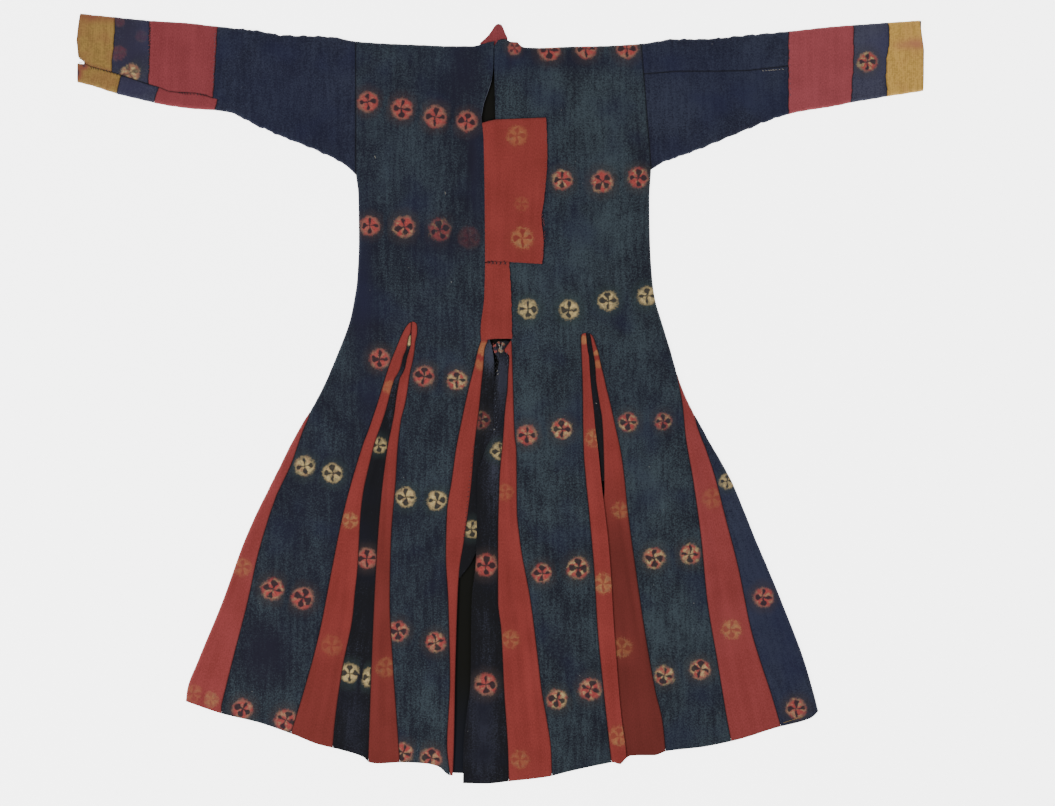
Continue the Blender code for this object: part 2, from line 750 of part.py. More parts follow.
def sleeve_front(half, across, down, slant_from=None, slant=0.0):
    """Outer and inner points of the front of a sleeve. slant leans the seams between its
    bands about the line slant_from."""
    from_top = down - half.top(across)
    from_bottom = half.bottom(across) - down
    cuff = 721 - np.abs(across)
    base = EDGE_HEIGHT + (BODY_HEIGHT - EDGE_HEIGHT) * ramp(cuff / EDGE_REACH)
    folds = [(from_top, 0.0, 1.0), (from_bottom, 0.0, -1.0)]
    height, inward_across, inward_down, fall = rolled(folds, base)
    lean = 0.0
    if slant_from is not None:
        lean = slant * (down - slant_from)
    outer = points_of(across + lean, down, height)
    inner = points_of(across + lean + inward_across, down + inward_down, height + fall)
    return outer, inner


def sleeve_piece(name, half, across, down, colour, slant_from=None, slant=0.0):
    outer, inner = sleeve_front(half, across, down, slant_from, slant)
    index = np.arange(down.size).reshape(down.shape)
    return wall_object(name, outer, inner, grid_quads(index), colour)


def band_columns(left, right, knots):
    """Across of the columns of a band: its two ends, and the knots between them."""
    inside = knots[(knots > left + 4) & (knots < right - 4)]
    return np.concatenate([[left], inside, [right]])


def to_cuff(across, down, cuff, reach):
    """Moves the columns within reach of the cuff so that the last one follows its end."""
    last = np.abs(across).max()
    near = np.clip(1 - (last - np.abs(across)) / reach, 0, 1)
    end = np.interp(down, cuff["down"], cuff["across"])
    return across + near * (end - np.sign(end) * last)


def make_left_sleeve():
    """Upper bands, the strip under the arm, and the long dark part."""
    knots = STRIP_SEAM["across"]
    bands = (
        ("sleeve_left_cuff_yellow", -718.0, -660.0, "yellow"),
        ("sleeve_left_band_dark", -660.0, -598.0, "indigo"),
        ("sleeve_left_band_red", -598.0, -488.0, "madder"),
    )
    for name, left, right, colour in bands:
        across = band_columns(left + SEAM_GAP / 2, right - SEAM_GAP / 2, knots)
        seam = strip_seam(across)
        lower = seam - SEAM_GAP / 2 - notch(across)
        top = LEFT.top(across)
        start = top + ROLL[-1]
        middle = start + np.linspace(0, 1, 5)[1:, None] * (lower - start)
        down = np.vstack([top + ROLL[:, None], middle])
        slant = UPPER_SLANT
        if colour == "yellow":
            across = to_cuff(across, down, LEFT_CUFF, 20.0)
            slant = UPPER_SLANT * ramp((across + 712) / 30)
        sleeve_piece(name, LEFT, across, down, colour, seam, slant)
    strips = (
        ("sleeve_left_strip_yellow", -718.0, -643.0, "yellow"),
        ("sleeve_left_strip_dark", -643.0, -580.0, "indigo"),
        ("sleeve_left_strip_red", -580.0, -479.0, "madder"),
    )
    for name, left, right, colour in strips:
        across = band_columns(left + SEAM_GAP / 2, right - SEAM_GAP / 2, knots)
        upper = strip_seam(across) + SEAM_GAP / 2 + 0.5 * notch(across)
        bottom = LEFT.bottom(across)
        roll = ROLL * np.minimum(1, (bottom - upper) / 30)[:, None]
        down = np.vstack([upper, (bottom - roll.T[::-1])])
        across = np.broadcast_to(across, down.shape)
        slant = STRIP_SLANT * ramp((across + 712) / 60)
        sleeve_piece(name, LEFT, across, down, colour, strip_seam(across), slant)
    make_left_sleeve_dark()


def make_left_sleeve_dark():
    """The long dark part, whose seam to the bands jogs at the strip."""
    arm_down, arm_across = LEFT.armhole_points()
    count = int(240 / PUCKER_STEP)
    part = np.linspace(0, 1, count)[None, :]
    row = np.arange(len(arm_down))
    start = np.where(row <= LEFT_JOG_ROW, -488.0, -479.0) + SEAM_GAP / 2
    end = arm_across - SEAM_GAP / 2
    across = start[:, None] + (end - start)[:, None] * part
    down = np.stack([left_sleeve_rows(LEFT, a)[k] for k, a in enumerate(across)])
    lean = np.where(row <= LEFT_JOG_ROW, UPPER_SLANT, STRIP_SLANT)[:, None]
    fade = ramp(1 - part / 0.4)
    outer, inner = sleeve_front(LEFT, across, down)
    shift = (lean * fade * (down - strip_seam(across))).ravel()[:, None] * np.array([1, 0, 0])
    index = np.arange(down.size).reshape(down.shape)
    wall_object("sleeve_left_dark", outer + shift, inner + shift, grid_quads(index), "indigo")


def make_right_sleeve():
    """The dark part in two pieces, then the bands out to the cuff."""
    arm_down, arm_across = RIGHT.armhole_points()
    count = int(235 / PUCKER_STEP)
    part = np.linspace(0, 1, count)[None, :]
    start = arm_across + SEAM_GAP / 2
    across = start[:, None] + (490 - SEAM_GAP / 2 - start)[:, None] * part
    down = np.stack([right_sleeve_rows(RIGHT, a)[k] for k, a in enumerate(across)])
    down = down + (arm_down[:, None] - down[:, :1]) * (1 - part) ** 2
    seam = len(ROLL) - 1 + RIGHT_UPPER_ROWS - 1
    upper = down[: seam + 1].copy()
    upper[-1] -= SEAM_GAP / 2
    lower = down[seam:].copy()
    lower[0] += SEAM_GAP / 2
    sleeve_piece("sleeve_right_dark_upper", RIGHT, across[: seam + 1], upper, "indigo")
    sleeve_piece("sleeve_right_dark_lower", RIGHT, across[seam:], lower, "indigo")
    bands = (
        ("sleeve_right_band_red", 490.0, 600.0, "madder"),
        ("sleeve_right_band_dark", 600.0, 660.0, "indigo"),
        ("sleeve_right_cuff_yellow", 660.0, 717.5, "yellow"),
    )
    for name, left, right, colour in bands:
        count = int((right - left) / COLUMN_STEP) + 1
        across = np.linspace(left + SEAM_GAP / 2, right - SEAM_GAP / 2, count)
        top = RIGHT.top(across)
        bottom = RIGHT.bottom(across)
        start = top + ROLL[-1]
        middle = start + np.linspace(0, 1, 5)[1:-1, None] * (bottom - ROLL[-1] - start)
        down = np.vstack([top + ROLL[:, None], middle, bottom - ROLL[::-1, None]])
        if colour == "yellow":
            across = to_cuff(across, down, RIGHT_CUFF, 20.0)
        sleeve_piece(name, RIGHT, across, down, colour)


def flat_piece(name, across, down, colour):
    """A flat piece of the back, from the surface up to the thickness of the cloth."""
    upper = points_of(across, down, np.full(down.shape, WALL))
    lower = points_of(across, down, np.zeros(down.shape))
    index = np.arange(down.size).reshape(down.shape)
    return wall_object(name, upper, lower, grid_quads(index), colour)


# The back, which doesn't show: each half has one insertion, and each side its gores
CENTRE_SEAM = -2.0
BACK_PARTS = np.array([0, 0.5, 0.75, 1])


def body_back(half, share, across):
    """Upper and lower points of the back of the body at these shares and across."""
    down = half.down(share, across)
    return points_of(across, down, WALL), points_of(across, down, 0.0)


def back_line(half, tip_down, tip_across, hem_across):
    """A straight seam of the back from its tip to the hem, as a table."""
    end = half.hem(hem_across)
    return table("down across", (tip_down, tip_across), ((tip_down + end) / 2,
                 (tip_across + hem_across) / 2), (end, hem_across))


def back_rows(half):
    """Shares of the rows of the back, which starts inside the shoulder fold."""
    inset = half.share(half.top(0.0) + BACK_INSET, 0.0)
    down, across = half.armhole_points()
    arm = half.share(down, across)
    near = (half.shares > arm[-5] + 1e-6) & (half.shares < arm[-1] - 1e-6)
    keep = (half.shares > arm[2] + 1e-6) & ~(near & (half.shares != arm[-4]))
    rows = np.concatenate([[inset], half.shares[keep]])
    rows[-1] = 1 - BACK_SHORT / half.hem(0.0)
    return rows


def back_outer(half, share):
    """Across of the back's outer edge: the armhole seam, then inside the folded side."""
    down, across = half.armhole_points()
    arm = half.share(down, across)
    sewn = np.interp(share, arm, across) - half.way * SEAM_GAP / 2
    folded = half.line(half.fold, np.maximum(share, arm[-1])) - half.way * BACK_INSET
    return np.where(share <= arm[-5] + 1e-6, sewn, folded)


def back_piece(name, half, left, right, colour, start, end=2.0, count=3):
    rows = half.back_shares
    share = rows[(rows >= start - 1e-4) & (rows <= end + 1e-4)]
    across = columns(left(share) + SEAM_GAP / 2, right(share) - SEAM_GAP / 2, count, 0)
    down = half.down(share[:, None], across)
    return flat_piece(name, across, down, colour)


def make_back(half, side, centre_seam, insertion, side_gores):
    """One half of the back with its insertion, and the gores of its side.

    insertion is (tip down, tip across, four hem positions from the side inwards), and
    side_gores is (name, colour, tip down, tip across, hem across of its inner seam)."""
    tip_down, tip_across, hems = insertion
    start = float(half.share(tip_down, tip_across))
    lines = [back_line(half, tip_down, tip_across, hem) for hem in hems]
    half.back_shares = back_rows(half)
    rows = half.back_shares
    tip_row = rows[rows >= start - 1e-4][0]
    next_row = rows[rows > tip_row + 1e-6][0]
    inner = [lambda share, line=line: half.line(line, share) for line in lines]
    way = half.way

    def centre(share):
        return np.full(len(share), centre_seam) + half.way * 0.0

    def seam_of(tip, across, hem):
        line = back_line(half, tip, across, hem)
        return lambda share: half.line(line, share)

    edges = [lambda share: back_outer(half, share)]
    starts = []
    for _, _, gore_down, gore_across, hem in side_gores:
        edges.append(seam_of(gore_down, gore_across, hem))
        starts.append(float(half.share(gore_down, gore_across)))

    def body_side(share):
        edge = back_outer(half, share) + half.way * SEAM_GAP / 2
        seam = edges[-1](share)
        return np.where(share > starts[-1] + 1e-6, seam, edge)

    share = rows
    slit = share >= next_row - 1e-6
    gap = half.way * SEAM_GAP / 2
    outer_slit = np.where(slit, inner[0](share) + gap, tip_across)
    inner_slit = np.where(slit, inner[-1](share) - gap, tip_across)
    side_line = body_side(share) - gap
    middle = centre(share) + gap
    blocks = [columns(side_line, outer_slit, 3, 0), columns(inner_slit, middle, BACK_PARTS, 0)]
    if way > 0:
        blocks = [block[:, ::-1] for block in blocks[::-1]]
    slit_cloth(f"back_{side}", half, share, blocks, slit, body_back, "indigo")

    colours = ("madder", "indigo", "madder")
    words = ("red_1", "dark", "red_2")
    for k in range(3):
        pair = [inner[k], inner[k + 1]] if way < 0 else [inner[k + 1], inner[k]]
        back_piece(f"back_gore_{side}_{words[k]}", half, *pair, colours[k], next_row)
    for k, (name, colour, *_) in enumerate(side_gores):
        pair = [edges[k], edges[k + 1]]
        if k == 0:
            pair[0] = lambda share: back_outer(half, share) + half.way * SEAM_GAP / 2
        if way > 0:
            pair = pair[::-1]
        begin = rows[rows > starts[k] + 0.03][0]
        back_piece(name, half, *pair, colour, begin)


def make_back_sleeves():
    """The back of each sleeve: one flat piece for each colour."""
    sleeves = (
        ("sleeve_left", LEFT, (-704.0, -652.0, -590.0, -484.0)),
        ("sleeve_right", RIGHT, (714.0, 660.0, 600.0, 490.0)),
    )
    words = (("cuff_yellow", "yellow"), ("band_dark", "indigo"), ("band_red", "madder"))
    for name, half, seams in sleeves:
        for k, (word, colour) in enumerate(words):
            ends = sorted(seams[k : k + 2])
            across = np.linspace(ends[0] + SEAM_GAP / 2, ends[1] - SEAM_GAP / 2, 5)
            across = np.broadcast_to(across, (2, 5))
            down = np.stack([half.top(across[0]) + BACK_INSET,
                             half.bottom(across[0]) - BACK_INSET])
            flat_piece(f"{name}_back_{word}", across, down, colour)
        arm_down, arm_across = half.armhole_points()
        rows = np.linspace(arm_down[0] + WAVE_INSET, arm_down[-1] - WAVE_INSET, 4)
        ends = np.stack([half.armhole(rows) + half.way * SEAM_GAP / 2,
                         np.full(4, seams[3] - half.way * SEAM_GAP / 2)], axis=1)
        ends = np.sort(ends, axis=1)
        across = columns(ends[:, 0], ends[:, 1], 12, 0)
        part = np.linspace(0, 1, 4)[:, None]
        top = half.top(across) + WAVE_INSET
        down = top + part * (half.bottom(across) - WAVE_INSET - top)
        flat_piece(f"{name}_back_dark", across, down, "indigo")


make_body_front()
make_gores()
make_lapped_pieces()
make_neck_band()
make_left_sleeve()
make_right_sleeve()
make_back(
    LEFT, "left", CENTRE_SEAM, (501.0, -150.0, (-300, -262, -222, -180)),
    (("back_side_left_dark", "indigo", 620.0, -318.0, -500.0),
     ("back_side_left_red", "madder", 590.0, -303.0, -440.0)),
)
make_back(
    RIGHT, "right", CENTRE_SEAM, (501.0, 150.0, (300, 262, 222, 180)),
    (("back_side_right_dark", "indigo", 620.0, 318.0, 500.0),
     ("back_side_right_red", "madder", 590.0, 309.0, 440.0)),
)
make_back_sleeves()
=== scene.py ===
# %% [markdown]
# # A woollen robe, laid flat
#
# The robe is pieced from narrow loom widths of wool: two dark widths for the front, red and dark
# gores let into the skirt, and sleeves that end in red, dark and yellow bands. Most of the dark
# cloth was tied and dyed, which left round spots with a cross of four dark petals.
#
# This lesson lays finished cloth over a packed frame of plain solids. It works in millimetres
# on the flat robe, as a tailor would: "across" runs to the right from the centre of the front,
# and "down" runs from the shoulder line to the hem.

import bpy
import numpy as np
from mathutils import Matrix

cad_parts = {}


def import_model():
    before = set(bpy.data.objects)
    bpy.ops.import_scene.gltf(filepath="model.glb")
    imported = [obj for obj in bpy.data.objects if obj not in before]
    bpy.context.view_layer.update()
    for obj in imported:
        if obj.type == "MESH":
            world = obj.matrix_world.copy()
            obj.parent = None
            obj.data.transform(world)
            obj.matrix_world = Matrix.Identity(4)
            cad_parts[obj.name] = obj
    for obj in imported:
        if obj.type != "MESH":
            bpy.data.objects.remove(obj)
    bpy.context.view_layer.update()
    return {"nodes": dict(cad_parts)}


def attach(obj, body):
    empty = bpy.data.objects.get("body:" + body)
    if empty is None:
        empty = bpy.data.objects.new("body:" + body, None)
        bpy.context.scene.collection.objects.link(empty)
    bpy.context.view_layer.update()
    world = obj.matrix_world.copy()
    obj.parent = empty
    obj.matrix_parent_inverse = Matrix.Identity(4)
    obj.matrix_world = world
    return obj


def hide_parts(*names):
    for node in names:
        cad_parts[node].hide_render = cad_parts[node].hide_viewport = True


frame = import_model()
print("frame of", len(frame["nodes"]), "pieces")

# %% [markdown]
# ## The camera, the floor and the light
#
# The robe was photographed from straight above. The camera hangs five metres up, with a long
# lens, so that nothing near an edge leans. One pixel of the picture is 1.7 mm of cloth, which
# gives the width of the view. A large soft light comes from the lower left, and a weaker one
# from the upper right keeps the shadows pale. The floor glows a little, as a light table does.

# %% Camera, floor and lights
PIXEL_MM = 1.7
PICTURE_WIDTH = 1055
PICTURE_HEIGHT = 806
CENTRE_PX = 500.0
SHOULDER_PX = 45.0
MIDDLE_ACROSS = 0.8
MIDDLE_DOWN = 600.7
CAMERA_HEIGHT = 5.0
FLOOR_SIZE = 12.0
FLOOR_GLOW = 4.0
FLOOR_DROP = 0.0003


def world(across, down, height):
    """Metres in the frame: x = across, y = middle - down, z = height, all less the middle."""
    place = np.broadcast_arrays(across - MIDDLE_ACROSS, MIDDLE_DOWN - down, height)
    return np.stack(place, axis=-1) * 0.001


def picture(x, y):
    """Across and down, in millimetres, of a pixel of the picture."""
    return (np.asarray(x) - CENTRE_PX) * PIXEL_MM, (np.asarray(y) - SHOULDER_PX) * PIXEL_MM


def principled(material):
    return material.node_tree.nodes["Principled BSDF"]


def plain_material(name, colour, roughness=0.9):
    material = bpy.data.materials.new(name)
    material.use_nodes = True
    shader = principled(material)
    shader.inputs["Base Color"].default_value = (*colour, 1)
    shader.inputs["Roughness"].default_value = roughness
    return material


def area_light(name, place, energy, size, aim=(0.0, 0.0, 0.0)):
    data = bpy.data.lights.new(name, "AREA")
    data.energy = energy
    data.size = size
    lamp = bpy.data.objects.new(name, data)
    lamp.location = place
    way = np.array(aim) - np.array(place)
    lamp.rotation_euler = (
        float(np.arctan2(np.hypot(way[0], way[1]), -way[2])), 0.0,
        float(np.arctan2(way[0], -way[1])) + np.pi,
    )
    bpy.context.scene.collection.objects.link(lamp)
    return lamp


view_across, view_down = picture(PICTURE_WIDTH / 2, PICTURE_HEIGHT / 2)
camera_data = bpy.data.cameras.new("camera")
camera_data.sensor_width = 36.0
camera_data.sensor_fit = "HORIZONTAL"
camera_data.lens = 36.0 * CAMERA_HEIGHT / (PICTURE_WIDTH * PIXEL_MM * 0.001)
camera_data.clip_end = 50.0
camera = bpy.data.objects.new("camera", camera_data)
camera.location = (*world(view_across, view_down, 0.0)[:2], CAMERA_HEIGHT)
bpy.context.scene.collection.objects.link(camera)
bpy.context.scene.camera = camera

corner = FLOOR_SIZE / 2
floor_mesh = bpy.data.meshes.new("floor")
floor_mesh.from_pydata(
    [(-corner, -corner, -FLOOR_DROP), (corner, -corner, -FLOOR_DROP),
     (corner, corner, -FLOOR_DROP), (-corner, corner, -FLOOR_DROP)], [], [(0, 1, 2, 3)])
pale = plain_material("pale floor", (0.9, 0.9, 0.9))
principled(pale).inputs["Emission Color"].default_value = (1, 1, 1, 1)
principled(pale).inputs["Emission Strength"].default_value = FLOOR_GLOW
floor_mesh.materials.append(pale)
floor = bpy.data.objects.new("floor", floor_mesh)
bpy.context.scene.collection.objects.link(floor)

area_light("window light", (-2.6, -1.4, 3.0), 150.0, 1.6)
area_light("fill light", (2.4, 2.0, 3.6), 50.0, 3.0)
studio = bpy.data.worlds.new("studio")
studio.use_nodes = True
studio.node_tree.nodes["Background"].inputs["Color"].default_value = (1.0, 1.0, 1.0, 1)
studio.node_tree.nodes["Background"].inputs["Strength"].default_value = 0.75
bpy.context.scene.world = studio
print("camera lens", round(camera_data.lens, 1), "mm")

# %% [markdown]
# ## The outline of each half
#
# The skirt flares, so its pieces fan out from the shoulder. Each half of the robe therefore
# keeps its own way of naming a place: how far across it is, and what share of the way it lies
# from the shoulder line to the hem. Two neighbours that share a seam then share its points.
# The tables hold places on the outline, and a smooth curve is drawn through them.

# %% Curves through a few places


def table(columns, *rows):
    """A small table: one named array for each column."""
    return dict(zip(columns.split(), np.array(rows, float).T))


def smooth(known, values, at):
    """A cubic between known values, level beyond the ends. The slope at each value is the
    harmonic mean of the slopes on both sides, or 0 where they differ in sign, so that the curve
    never swings past a value."""
    at = np.clip(at, known[0], known[-1])
    step = np.diff(known)
    rise = np.diff(values) / step
    slope = np.empty_like(values)
    slope[0] = rise[0]
    slope[-1] = rise[-1]
    same = rise[:-1] * rise[1:] > 0
    whole = np.where(same, rise[:-1] + rise[1:], 1.0)
    slope[1:-1] = np.where(same, 2 * rise[:-1] * rise[1:] / whole, 0.0)
    place = np.clip(np.searchsorted(known, at, side="right") - 1, 0, len(step) - 1)
    width = step[place]
    t = (at - known[place]) / width
    start = values[place] * (1 + 2 * t) * (1 - t) ** 2 + slope[place] * width * t * (1 - t) ** 2
    end = values[place + 1] * t**2 * (3 - 2 * t) - slope[place + 1] * width * t**2 * (1 - t)
    return start + end


def ramp(t):
    """Rises softly from 0 to 1 as t goes from 0 to 1."""
    t = np.clip(t, 0, 1)
    return t * t * (3 - 2 * t)


def wave(at, seed):
    """An uneven wave between about -1 and 1, a sum of three sines that never agree."""
    turns = 2 * np.pi * at
    return (0.5 * np.sin(turns + seed) + 0.3 * np.sin(2.3 * turns + 2.1 * seed)
            + 0.2 * np.sin(4.7 * turns + 0.7 * seed))


print("a curve at 1.5 of 0, 1, 4:", round(float(smooth(np.array([0.0, 1, 2]),
                                                       np.array([0.0, 1, 4]), 1.5)), 3))

# %% The two halves
PUCKER_LENGTH = 27.0
PUCKER_DEPTH = 1.5
PUCKER_FADE = 20.0


class Half:
    """The outline of one half of the robe, which every piece of that half shares."""

    def __init__(self, way, top, hem, fold, armhole, neck, bottom, puckers):
        self.way = way
        self.top_line = top
        self.hem_line = hem
        self.fold = fold
        self.armhole_line = armhole
        self.neck = neck
        self.bottom_line = bottom
        self.puckers = puckers
        self.underarm = armhole["down"][1]

    def pucker(self, across, seed):
        start, end = self.puckers
        inside = ramp((across - start) / PUCKER_FADE) * ramp((end - across) / PUCKER_FADE)
        return PUCKER_DEPTH * inside * wave(across / PUCKER_LENGTH, seed)

    def top(self, across):
        line = smooth(self.top_line["across"], self.top_line["down"], across)
        return line + self.pucker(across, 0.4) + 0.35 * wave(across / 23, 2.2)

    def bottom(self, across):
        line = smooth(self.bottom_line["across"], self.bottom_line["down"], across)
        return line + self.pucker(across, 2.6) + 0.35 * wave(across / 21, 4.2)

    def hem(self, across):
        return smooth(self.hem_line["across"], self.hem_line["down"], across)

    def armhole(self, down):
        return np.interp(down, self.armhole_line["down"], self.armhole_line["across"])

    def share(self, down, across):
        """Share = (down - top) / (hem - top), both at the same place across."""
        top = self.top(across)
        return (down - top) / (self.hem(across) - top)

    def down(self, share, across):
        top = self.top(across)
        return top + share * (self.hem(across) - top)

    def line(self, seam, share):
        """Across of a seam, whose table has columns down and across, at the given shares."""
        known = self.share(seam["down"], seam["across"])
        return smooth(known, seam["across"], share)

    def start(self, seam):
        return float(self.share(seam["down"][0], seam["across"][0]))

    def body_edge(self, share):
        """Across of the body's outer edge: the armhole above the underarm, then the fold."""
        across = np.full(len(share), self.armhole_line["across"][0])
        for _ in range(5):
            down = self.down(share, across)
            across = self.armhole(down)
        return np.where(down <= self.underarm, across, self.line(self.fold, share))


LEFT = Half(
    way=-1,
    top=table(
        "across down",
        (-721, -54), (-677, -49), (-595, -41), (-534, -37), (-493, -32), (-411, -24),
        (-371, -17), (-289, -14), (-245, -6), (-187, -2), (-136, 0), (-85, 2), (-43, 2),
        (-20, -3.5), (-6, -6)),
    hem=table(
        "across down",
        (-534, 1115), (-473, 1136), (-411, 1151), (-350, 1172), (-310, 1188), (-269, 1198),
        (-232, 1210), (-222, 1219), (-207, 1221), (-167, 1219), (-126, 1221), (-105, 1226),
        (-85, 1241), (-60, 1242)),
    fold=table(
        "down across",
        (221, -245), (255, -241), (332, -240), (400, -243), (434, -248), (468, -255),
        (510, -270), (587, -303), (663, -347), (740, -386), (842, -434), (944, -471),
        (1046, -513), (1097, -532), (1115, -534)),
    armhole=table("down across", (-6, -245), (221, -245)),
    neck=-43.0,
    bottom=table(
        "across down",
        (-721, 63), (-677, 73), (-636, 85), (-595, 95), (-554, 104), (-513, 109),
        (-473, 112), (-452, 116), (-411, 138), (-371, 156), (-330, 172), (-289, 190),
        (-262, 205), (-245, 221)),
    puckers=(-470.0, -262.0),
)
RIGHT = Half(
    way=1,
    top=table(
        "across down",
        (-10, 3), (-2, -8), (10, -9), (17, -5), (30, -4), (35, 1), (41, 4), (68, 5),
        (119, 3), (170, 2), (240, -2), (299, -10), (340, -10), (422, -17), (490, -23),
        (564, -31), (646, -37), (721, -42)),
    hem=table(
        "across down",
        (-64, 1254), (-24, 1255), (17, 1251), (78, 1244), (119, 1234), (180, 1221),
        (192, 1219), (204, 1222), (213, 1213), (221, 1208), (240, 1207), (262, 1207),
        (283, 1200), (343, 1193), (405, 1180), (466, 1161), (527, 1144), (541, 1132)),
    fold=table(
        "down across",
        (212, 257), (264, 254), (332, 255), (400, 259), (434, 264), (468, 274), (510, 287),
        (587, 311), (663, 350), (740, 393), (842, 435), (944, 478), (1046, 517),
        (1097, 532), (1132, 541)),
    armhole=table("down across", (-2, 240), (212, 257)),
    neck=33.0,
    bottom=table(
        "across down",
        (257, 212), (279, 199), (299, 192), (340, 177), (381, 160), (422, 143), (462, 127),
        (503, 115), (564, 105), (605, 97), (646, 90), (721, 78)),
    puckers=(262.0, 488.0),
)
print("hem at the centre", round(float(RIGHT.hem(0.0))), "mm below the shoulder line")

# %% [markdown]
# ## Seams of the front
#
# Each table is one seam, read down from the waist. The gores are narrow triangles: red, dark,
# red. The middle one hangs open over a black gap.

# %% Seam tables
LEFT_EDGE = table(
    "down across",
    (-8, -9.5), (3, -10.4), (11, -10.6), (40, -11.2), (60, -14), (78, -19), (100, -27), (122, -31),
    (160, -28), (280, -26), (372, -25.5), (430, -27), (486, -33), (505, -32))
RIGHT_EDGE = table(
    "down across",
    (3, -9.7), (40, -9.6), (120, -8), (250, -5), (372, 0), (430, 4), (480, 13), (505, 20))
SIDE_LEFT = table(
    "down across",
    (620, -321.5), (636, -326), (663, -337), (714, -355), (765, -379), (867, -411),
    (944, -428), (1046, -454), (1122, -473))
A_LEFT = table(
    "down across",
    (470, -148), (471.5, -152), (474, -155.5), (480, -160), (491, -166), (517, -177),
    (542, -187), (563, -194), (598, -204.5), (689, -236), (791, -265), (893, -286),
    (995, -306), (1097, -333), (1175, -357))
A_DARK_LEFT = table(
    "down across",
    (470, -150), (489, -151.3), (495, -154.5), (508, -157.3), (517, -159), (529, -164),
    (547, -168.3), (559, -173.4), (566, -178), (580, -183), (602, -188.7), (622, -194),
    (689, -216), (791, -236), (893, -242), (930, -246), (972, -250), (1023, -260),
    (1046, -265), (1148, -280), (1192, -284))
A_DARK_RIGHT = table(
    "down across",
    (470, -149.8), (489, -150.7), (508, -151.3), (518, -153.9), (532, -158), (549, -161.5),
    (559, -165.8), (566, -170), (583, -173.4), (604, -176.8), (624, -179.4), (689, -192),
    (791, -204), (893, -211), (1046, -218), (1216, -224))
A_RIGHT = table(
    "down across",
    (470, -148), (471.5, -144), (474, -141.5), (480, -140.3), (490, -140.6), (505, -143.7),
    (522, -145.4), (541, -148.8), (559, -153), (590, -157.3), (612, -161.5), (638, -168),
    (689, -174), (740, -177), (842, -185), (944, -187), (1046, -182), (1148, -175), (1219, -170))
B_LEFT = table(
    "down across",
    (505, -33), (513, -35.7), (525, -39), (541, -42.5), (587, -54), (638, -65), (689, -75),
    (740, -82), (791, -90), (867, -92), (944, -88), (1080, -85), (1190, -90), (1240, -85))
B_LEFT_DARK = table(
    "down across",
    (503, -20.5), (506, -22), (510, -24), (520, -26.4), (544, -28), (578, -31.5), (604, -34),
    (629, -36.6), (646, -39), (689, -44), (740, -48), (791, -54), (842, -61), (893, -69),
    (944, -72), (1080, -76), (1190, -78), (1240, -80))
B_LEFT_END = table(
    "down across",
    (503, -17), (508, -15), (515, -12.8), (527, -11), (544, -9.4), (561, -9), (587, -7),
    (604, -3), (655, -3), (689, -12), (723, -25), (784, -30), (842, -34), (878, -48),
    (905, -67.5))
B_OVERLAP = table(
    "down across",
    (503, -13), (515, -11.5), (523, -9.5), (530, -5.5), (541, -2), (558, -6), (577, -9.5),
    (604, -11), (646, -10), (668, -15), (685, -24), (706, -31), (723, -37), (757, -39),
    (786, -39), (876, -41), (944, -48), (1080, -50), (1148, -58), (1190, -62), (1254, -63))
B_RIGHT_DARK = table(
    "down across",
    (503, 17.5), (508, 14), (514, 10), (519, 7), (523, 8.5), (526, 14.5), (532, 15.3), (561, 13.6),
    (587, 12.5), (605, 10.2), (629, 7.7), (663, 5.5), (740, -1), (842, -3.5), (944, -3.5),
    (995, 2), (1097, 7), (1199, 13.5), (1250, 15))
B_RIGHT = table(
    "down across",
    (505, 20), (587, 22.5), (663, 25), (689, 28), (791, 29), (842, 34), (944, 52),
    (1046, 65), (1097, 71), (1148, 80), (1199, 87), (1245, 88.5))
C_LEFT = table(
    "down across",
    (489.5, 146), (490.5, 141), (493, 138.5), (500, 137.7), (527, 138.6), (578, 140.3),
    (646, 141), (689, 142), (740, 146), (791, 151), (893, 160), (995, 166), (1097, 176),
    (1199, 187), (1225, 190))
C_DARK_LEFT = table(
    "down across",
    (489.5, 145.8), (510, 147.9), (522, 149.6), (530, 151.3), (544, 152), (571, 154), (595, 156.4),
    (626, 159.8), (646, 161.5), (689, 167), (740, 172), (791, 178), (842, 184), (893, 188),
    (995, 194), (1046, 198), (1097, 202), (1148, 207), (1199, 214), (1213, 215))
C_DARK_RIGHT = table(
    "down across",
    (489.5, 151), (493, 153), (508, 155.6), (522, 158), (544, 161.5), (571, 163.2), (595, 166.6),
    (615, 170), (636, 173.4), (689, 176), (740, 177), (758, 177), (791, 170), (842, 170),
    (944, 177), (1046, 185), (1199, 199), (1213, 201))
C_RIGHT = table(
    "down across",
    (489.5, 146), (490.5, 152), (493, 156), (498, 159), (510, 163), (524, 167.5), (544, 171.7),
    (564, 176.8), (581, 180.5), (600, 185.3), (622, 190.4), (646, 195.5), (689, 205), (740, 212),
    (791, 217), (893, 231), (995, 246), (1097, 264), (1148, 276), (1204, 282))
SIDE_RIGHT = table(
    "down across",
    (552, 298.5), (612, 310), (663, 315), (740, 328), (842, 342), (944, 352), (1046, 369),
    (1148, 386), (1185, 393))
SIDE_RIGHT_DARK = table(
    "down across",
    (627, 330), (643, 333.5), (665, 341), (682, 348), (699, 354), (723, 362), (740, 367),
    (791, 380), (893, 406), (995, 427), (1046, 442), (1097, 459), (1160, 478))
print("the left gores are", np.ptp(A_LEFT["down"]), "mm long, the right ones", np.ptp(C_LEFT["down"]))

# %% [markdown]
# ## Height of the cloth
#
# The back lies on the floor. The front lies on it and rolls down round its edge at a fold: the
# height follows a quarter of a round at the edge and then falls back to the height of the
# body. A hand-made robe is never quite flat, so low ridges and troughs are added. Each is a
# line between two places with a bell-shaped section, and all differ in length, width and depth.

